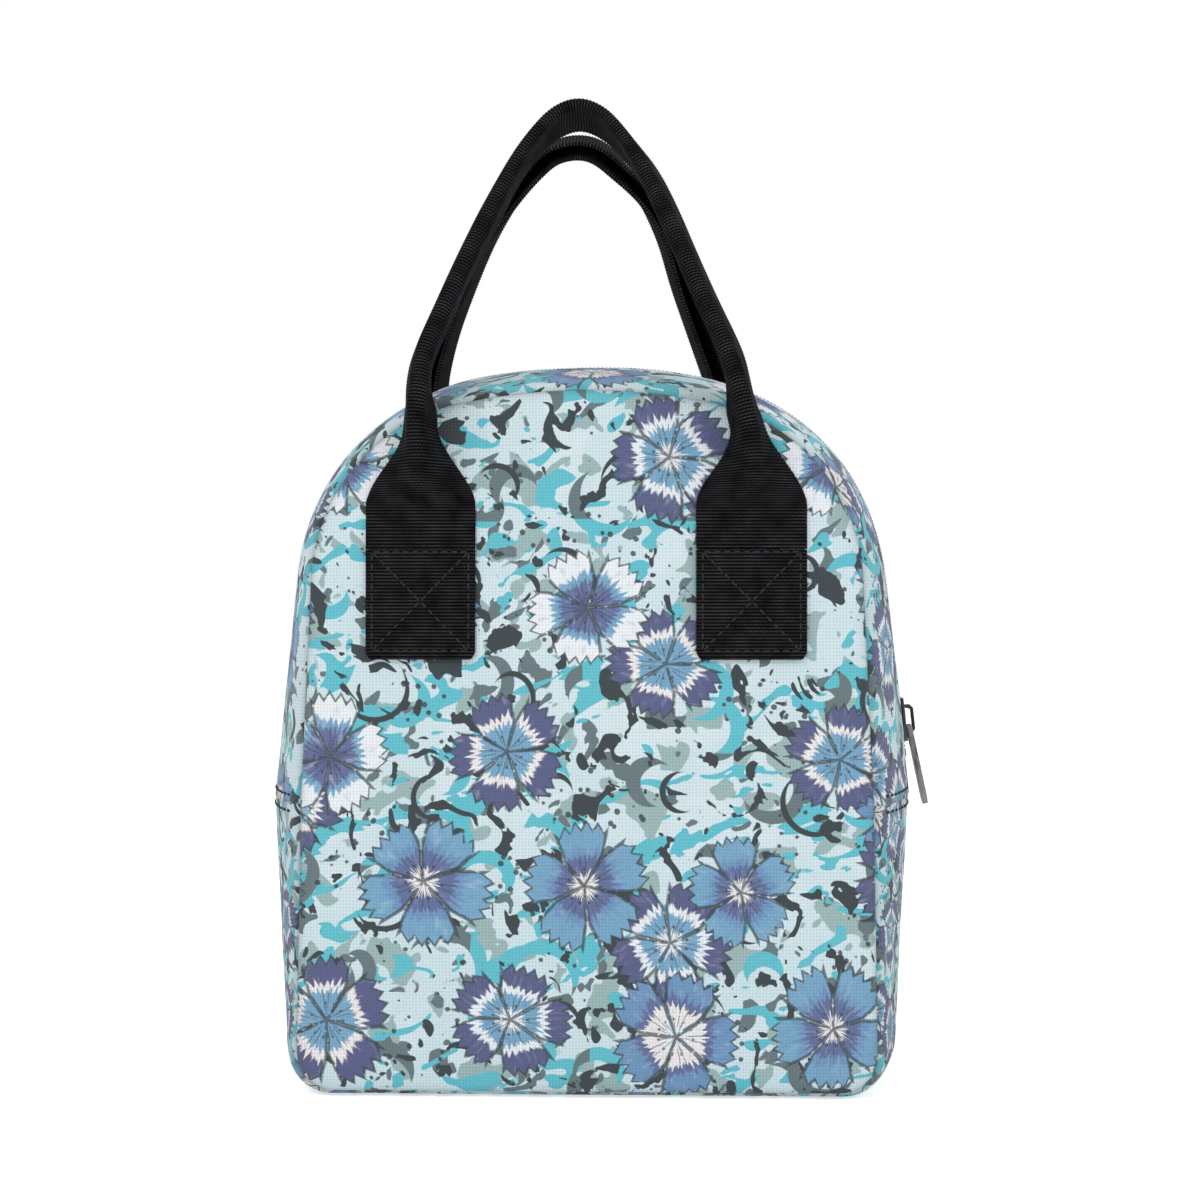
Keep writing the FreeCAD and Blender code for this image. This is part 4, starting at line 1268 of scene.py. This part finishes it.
def spatter(tree, x, y, size, seed):
    """Ink dots of uneven size."""
    node = tree.nodes.new("ShaderNodeTexVoronoi")
    plug(tree, node.inputs["Vector"], joined(x / size, y / size, seed))
    node.inputs["Scale"].default_value = 1.0
    reach = noise_field(tree, joined(x / 30.0, y / 30.0, seed + 3.0), 1.0, 1.0).step(0.42, 0.66) * 0.26
    return (Field(tree, node.outputs["Distance"]) - reach).step(0.02, -0.04)


def background(tree, x, y):
    """Washes, brush strokes and ink behind the flowers."""
    colour = mixed(tree, blot(tree, x, y, 30, 2.0, 0.42, 0.62) * 0.25, GROUND, WHITE)
    colour = mixed(tree, blot(tree, x, y, 14, 9.0, 0.56, 0.575, detail=2.0), colour, SAGE)
    colour = mixed(tree, blot(tree, x, y, 10, 17.0, 0.60, 0.615, 1.3, 0.6, 2.0), colour, SLATE)
    colour = mixed(tree, blot(tree, x, y, 9, 23.0, 0.585, 0.6, 1.7, 0.3, 1.5, 0.9), colour, TEAL)
    curls = rings(x, y, 51.0, 58.0, 41.0).most(rings(x + 31.0, y - 11.0, 71.0, 37.0, 33.0))
    pick = random_field((x / 40.0).floor(), (y / 40.0).floor(), 5.0).step(0.5, 0.51)
    colour = mixed(tree, curls, colour, mixed(tree, pick, SLATE, TEAL))
    colour = mixed(tree, blot(tree, x, y, 10, 37.0, 0.592, 0.604, 1.2, -0.9, 2.5, 0.8), colour, CHARCOAL)
    colour = mixed(tree, rings(x - 13.0, y + 9.0, 91.0, 43.0, 37.0, 1.2), colour, CHARCOAL)
    return mixed(tree, spatter(tree, x, y, 4.2, 61.0) * 0.9, colour, CHARCOAL)


def flowers(tree, x, y, spot, colour):
    """Both lattices of flowers over the colour behind them."""
    wobble = noise_field(tree, spot, 0.16, 2.0) - 0.5
    for wide, high, seed, shift, empty in FLOWER_LAYERS:
        column, row, local_x, local_y = lattice(x + shift, y + shift * 0.9, wide, high, seed)
        parts = petal_place(column, row, local_x, local_y, wobble, seed)
        depth = petal_depth(parts[0], parts[1])
        shown = random_field(column, row, seed + 8.0).step(empty, empty + 0.001)
        fill = depth.step(-0.012, 0.012) * shown
        colour = mixed(tree, fill, colour, flower_colour(tree, column, row, parts, seed))
        ink = flower_lines(parts, depth) * shown * noise_field(tree, spot, 0.5, 1.0).step(0.25, 0.45)
        colour = mixed(tree, ink * 0.8, colour, CHARCOAL)
    return colour


def plain_weave(x, y, pitch):
    """Rounded warp and weft threads; each shows where it passes over the other."""
    over = ((x / pitch).floor() + (y / pitch).floor()).wrap(2.0)
    warp = (x * (math.pi / pitch)).sin().abs()
    weft = (y * (math.pi / pitch)).sin().abs()
    return over * warp * (0.6 + weft * 0.4) + (1.0 - over) * weft * (0.6 + warp * 0.4)


def canvas_material():
    """Printed woven cloth with flowers, washes and ink, with painted shade between its threads and along its
    creased seams.
    """
    material, tree, surface = new_material("printed_canvas", 0.88, sheen=0.12)
    flat_x, flat_y = cloth_place(tree)
    spot = joined(flat_x, flat_y)
    drift = noise_field(tree, spot, 0.012, 1.0) - 0.5
    x, y = flat_x + drift * 14.0, flat_y - drift * 11.0
    colour = flowers(tree, x, y, spot, background(tree, x, y))
    weave = plain_weave(flat_x, flat_y, WEAVE_PITCH)
    slub = noise_field(tree, joined(flat_x * 0.12, flat_y * 1.4), 1.0, 2.0)
    painted_seam_shade = tree.nodes.new("ShaderNodeAttribute")
    painted_seam_shade.attribute_name = "painted_seam_shade"
    # painted shade: the weave's crowns lighter and the hollows between threads darker; the slub term is the
    # yarn's own uneven tone
    painted_shade_and_slub = 0.78 + weave * 0.19 + (slub - 0.5) * 0.10
    # painted shade along the seams, darkening the cloth up to 60 % at the seam
    painted_shade_and_slub = painted_shade_and_slub * (1.0 - Field(tree, painted_seam_shade.outputs["Fac"]) * 0.6)
    colour = mixed(tree, 1.0, colour, joined(painted_shade_and_slub, painted_shade_and_slub, painted_shade_and_slub), "MULTIPLY")
    grime = noise_field(tree, solid_place(tree), 9.0, 3.0).step(0.62, 0.85) * 0.10
    finish_off(tree, surface, mixed(tree, grime, colour, SAGE), weave + slub * 0.5, 0.00022, 0.8)
    return material


# ------------------------------------------------------------------ other materials

QUILT_PITCH = 6.0


def webbing_material():
    """Near-black webbing: a painted highlight, grey, on the crown of each cross rib, and painted shade,
    black, between.
    """
    material, tree, surface = new_material("webbing", 0.62)
    surface.inputs["Specular IOR Level"].default_value = 0.02
    x, y = cloth_place(tree)
    pitch = RIB_PITCH / MM
    crown = (y * (2 * math.pi / pitch)).cos() * 0.5 + 0.5
    grain = (x * (2 * math.pi / 1.1) + y * (math.pi / pitch)).sin() * 0.5 + 0.5
    # uneven strength of the painted rib highlight
    highlight_amount = noise_field(tree, joined(x * 0.12, y * 0.12), 1.0, 3.0)
    # painted highlight on the rib crowns and painted shade in the grooves between
    light = crown.power(1.6) * (0.5 + grain * 0.5) * (highlight_amount * 1.9 - 0.35).most(0.12)
    colour = mixed(tree, light, tint(4, 4, 5), tint(68, 68, 71))
    finish_off(tree, surface, colour, crown * 0.3 + grain, 0.00012, 0.8)
    return material


def noisy_material(name, rough, scale, detail, first, second, distance, strength, share=1.0, gloss=0.5):
    """A plain finish mottled by fine noise, with relief from the same noise."""
    material, tree, surface = new_material(name, rough)
    surface.inputs["Specular IOR Level"].default_value = gloss
    marks = noise_field(tree, solid_place(tree), scale, detail)
    finish_off(tree, surface, mixed(tree, marks * share, first, second), marks, distance, strength)
    return material


def lining_material():
    """Silvery film with fine creases and a quilted emboss."""
    material, tree, surface = new_material("lining", 0.34, metallic=0.75)
    x, y = cloth_place(tree)
    creases = noise_field(tree, solid_place(tree), 55.0, 4.0, 1.2)
    colour = mixed(tree, creases, tint(176, 180, 184), tint(226, 229, 232))
    quilt = (x * (math.pi / QUILT_PITCH)).sin() * (y * (math.pi / QUILT_PITCH)).sin()
    finish_off(tree, surface, colour, creases + quilt * 0.25, 0.0012, 0.7, creases * 0.25 + 0.26)
    return material


def tape_material(name, dark, light, pitch, rough):
    """Closely woven narrow tape, with a painted highlight on the crowns of its threads and painted shade
    between them.
    """
    material, tree, surface = new_material(name, rough, sheen=0.1)
    x, y = cloth_place(tree)
    weave = plain_weave(x, y, pitch)
    uneven = noise_field(tree, joined(x * 0.2, y * 0.2), 1.0, 3.0)
    # painted shade between the threads and painted highlight on their crowns, with contrast that is uneven at
    # random
    finish_off(tree, surface, mixed(tree, weave * (0.4 + uneven * 0.6), dark, light), weave, 0.00012, 0.8)
    return material


def metal_material():
    """Gunmetal with a painted highlight, brighter, along its edges."""
    material, tree, surface = new_material("zip_metal", 0.36, metallic=0.9)
    marks = noise_field(tree, solid_place(tree), 260.0, 4.0)
    edges = tree.nodes.new("ShaderNodeNewGeometry").outputs["Pointiness"]
    # painted highlight: lighter colour on sharp edges, uneven with the marks
    highlight_amount = Field(tree, edges).step(0.5, 0.62) * (0.4 + marks * 0.8)
    colour = mixed(tree, marks, tint(22, 23, 25), tint(44, 45, 47))
    # tint(150, 150, 150) is the painted edge highlight
    colour = mixed(tree, highlight_amount.least(1.0), colour, tint(150, 150, 150))
    finish_off(tree, surface, colour, marks, 0.00004, 0.4, marks * 0.3 + 0.24)
    return material


def make_finishes():
    foam = (tint(236, 236, 232), tint(205, 205, 202))
    # for the tapes, the first colour is painted shade between the threads and the second a painted highlight
    # on their crowns
    binding = (tint(120, 124, 130), tint(176, 180, 186))
    tape = (tint(26, 26, 30), tint(84, 84, 90))
    coil = (tint(22, 22, 24), tint(66, 66, 70))
    thread = (tint(12, 12, 13), tint(56, 56, 58))
    return {
        "canvas": canvas_material(),
        "foam": noisy_material("foam", 0.95, 900.0, 2.0, *foam, 0.0004, 0.6, share=0.5),
        "lining": lining_material(),
        "binding": tape_material("binding", *binding, 0.9, 0.85),
        "tape": tape_material("zip_tape", *tape, 0.8, 0.85),
        "coil": noisy_material("zip_coil", 0.42, 300.0, 3.0, *coil, 0.00005, 0.5),
        "metal": metal_material(),
        "webbing": webbing_material(),
        "thread": noisy_material("thread", 0.7, 1500.0, 2.0, *thread, 0.0001, 0.7, gloss=0.2),
    }


# ------------------------------------------------------------------ floor, light and camera

FLOOR_Z = -0.6 * MM
FLOOR_REACH = 15
SKY_LIGHT = 0.52
CAMERA_TURN = math.radians(1.8)
CAMERA_DISTANCE = 0.78
CAMERA_HEIGHT = 0.172
CAMERA_SHIFT = 3 * MM
LENS = 62.6


def seen_by_camera(tree):
    """1 for rays straight from the camera, 0 for the light that reaches the bag."""
    return Field(tree, tree.nodes.new("ShaderNodeLightPath").outputs["Is Camera Ray"])


def floor_material():
    """Pale paper that glows a little, and more so to the camera, to run into the white background."""
    material, tree, surface = new_material("floor_paper", 0.9)
    mottle = noise_field(tree, solid_place(tree), 3.0, 2.0)
    plug(tree, surface.inputs["Base Color"], mixed(tree, mottle, tint(243, 243, 243), tint(247, 247, 247)))
    surface.inputs["Emission Color"].default_value = (1, 1, 1, 1)
    plug(tree, surface.inputs["Emission Strength"], seen_by_camera(tree) * 0.42 + 0.16)
    return material


def make_floor():
    """A pale floor reaching far beyond the bag."""
    work = bmesh.new()
    bmesh.ops.create_grid(work, x_segments=12, y_segments=12, size=FLOOR_REACH)
    bmesh.ops.translate(work, vec=(0, 0, FLOOR_Z), verts=work.verts)
    mesh = bpy.data.meshes.new("floor")
    work.to_mesh(mesh)
    work.free()
    new_object("floor", mesh, floor_material())


def area_light(name, place, aim, size, power):
    lamp = bpy.data.lights.new(name, "AREA")
    lamp.shape = "RECTANGLE"
    lamp.size, lamp.size_y = size
    lamp.energy = power
    holder = bpy.data.objects.new(name, lamp)
    holder.location = place
    holder.rotation_euler = (Vector(aim) - Vector(place)).to_track_quat("-Z", "Y").to_euler()
    bpy.context.scene.collection.objects.link(holder)


def make_lights():
    area_light("key", (-0.9, -1.5, 1.5), (0, 0, 0.16), (1.4, 1.2), 17)
    area_light("fill", (1.4, -1.2, 0.9), (0, 0, 0.16), (1.4, 1.2), 9)
    area_light("top", (0.1, 0.1, 1.9), (0, 0, 0.2), (1.6, 1.6), 10)
    world = bpy.data.worlds.new("studio")
    bpy.context.scene.world = world
    world.use_nodes = True
    tree = world.node_tree
    colour, strength = tree.nodes["Background"].inputs[:2]
    colour.default_value = (1, 1, 1, 1)
    plug(tree, strength, seen_by_camera(tree) * (1.0 - SKY_LIGHT) + SKY_LIGHT)


def make_camera():
    camera = bpy.data.cameras.new("camera")
    camera.lens = LENS
    camera.sensor_width = 36
    holder = bpy.data.objects.new("camera", camera)
    x = CAMERA_DISTANCE * math.sin(CAMERA_TURN) + CAMERA_SHIFT
    holder.location = (x, -CAMERA_DISTANCE * math.cos(CAMERA_TURN), CAMERA_HEIGHT)
    holder.rotation_euler = (math.pi / 2, 0, CAMERA_TURN)
    bpy.context.scene.collection.objects.link(holder)
    bpy.context.scene.camera = holder


# ------------------------------------------------------------------ everything together

PANEL_SEEDS = {"front": 21, "back": 31}


def build_side(side, panel, flip, direction, gusset, gusset_normals, finish):
    """One panel with its half of the zip gusset, its seam binding and its handle."""
    directions = [direction] * len(PANEL_STEPS)
    panel = dress(panel, grid_normals(panel, True, flip), PANEL_STEPS, directions, PANEL_SEEDS[side])
    normals = grid_normals(panel, True, flip)
    panel_walls(side, panel, normals, finish)
    strip_walls(side, gusset, gusset_normals, finish)
    bindings(side, gusset, gusset_normals, panel, normals, finish)
    depth = panel_face(side)
    patches(side, depth, finish)
    loop_of_webbing(side, depth, finish)
    box_and_cross(side, depth, finish)


def build():
    finish = make_finishes()
    gusset, front, back = settle_skin()
    directions = seam_directions(gusset, (front, back))
    nearer = [directions[0] if y <= 0 else directions[1] for y in GUSSET_Y]
    gusset = dress(gusset, grid_normals(gusset, True, False), from_seam_rows(GUSSET_Y), nearer, 1)
    normals = grid_normals(gusset, True, False)
    build_side("front", front, True, directions[0], gusset, normals, finish)
    build_side("back", back, False, directions[1], gusset, normals, finish)
    base_walls(gusset, normals, finish)
    side_rows(gusset, normals, finish)
    zip_halves(gusset, normals, finish)
    zip_hardware(finish)

build()
make_floor()
make_lights()
make_camera()
bpy.context.scene.view_settings.view_transform = "Standard"
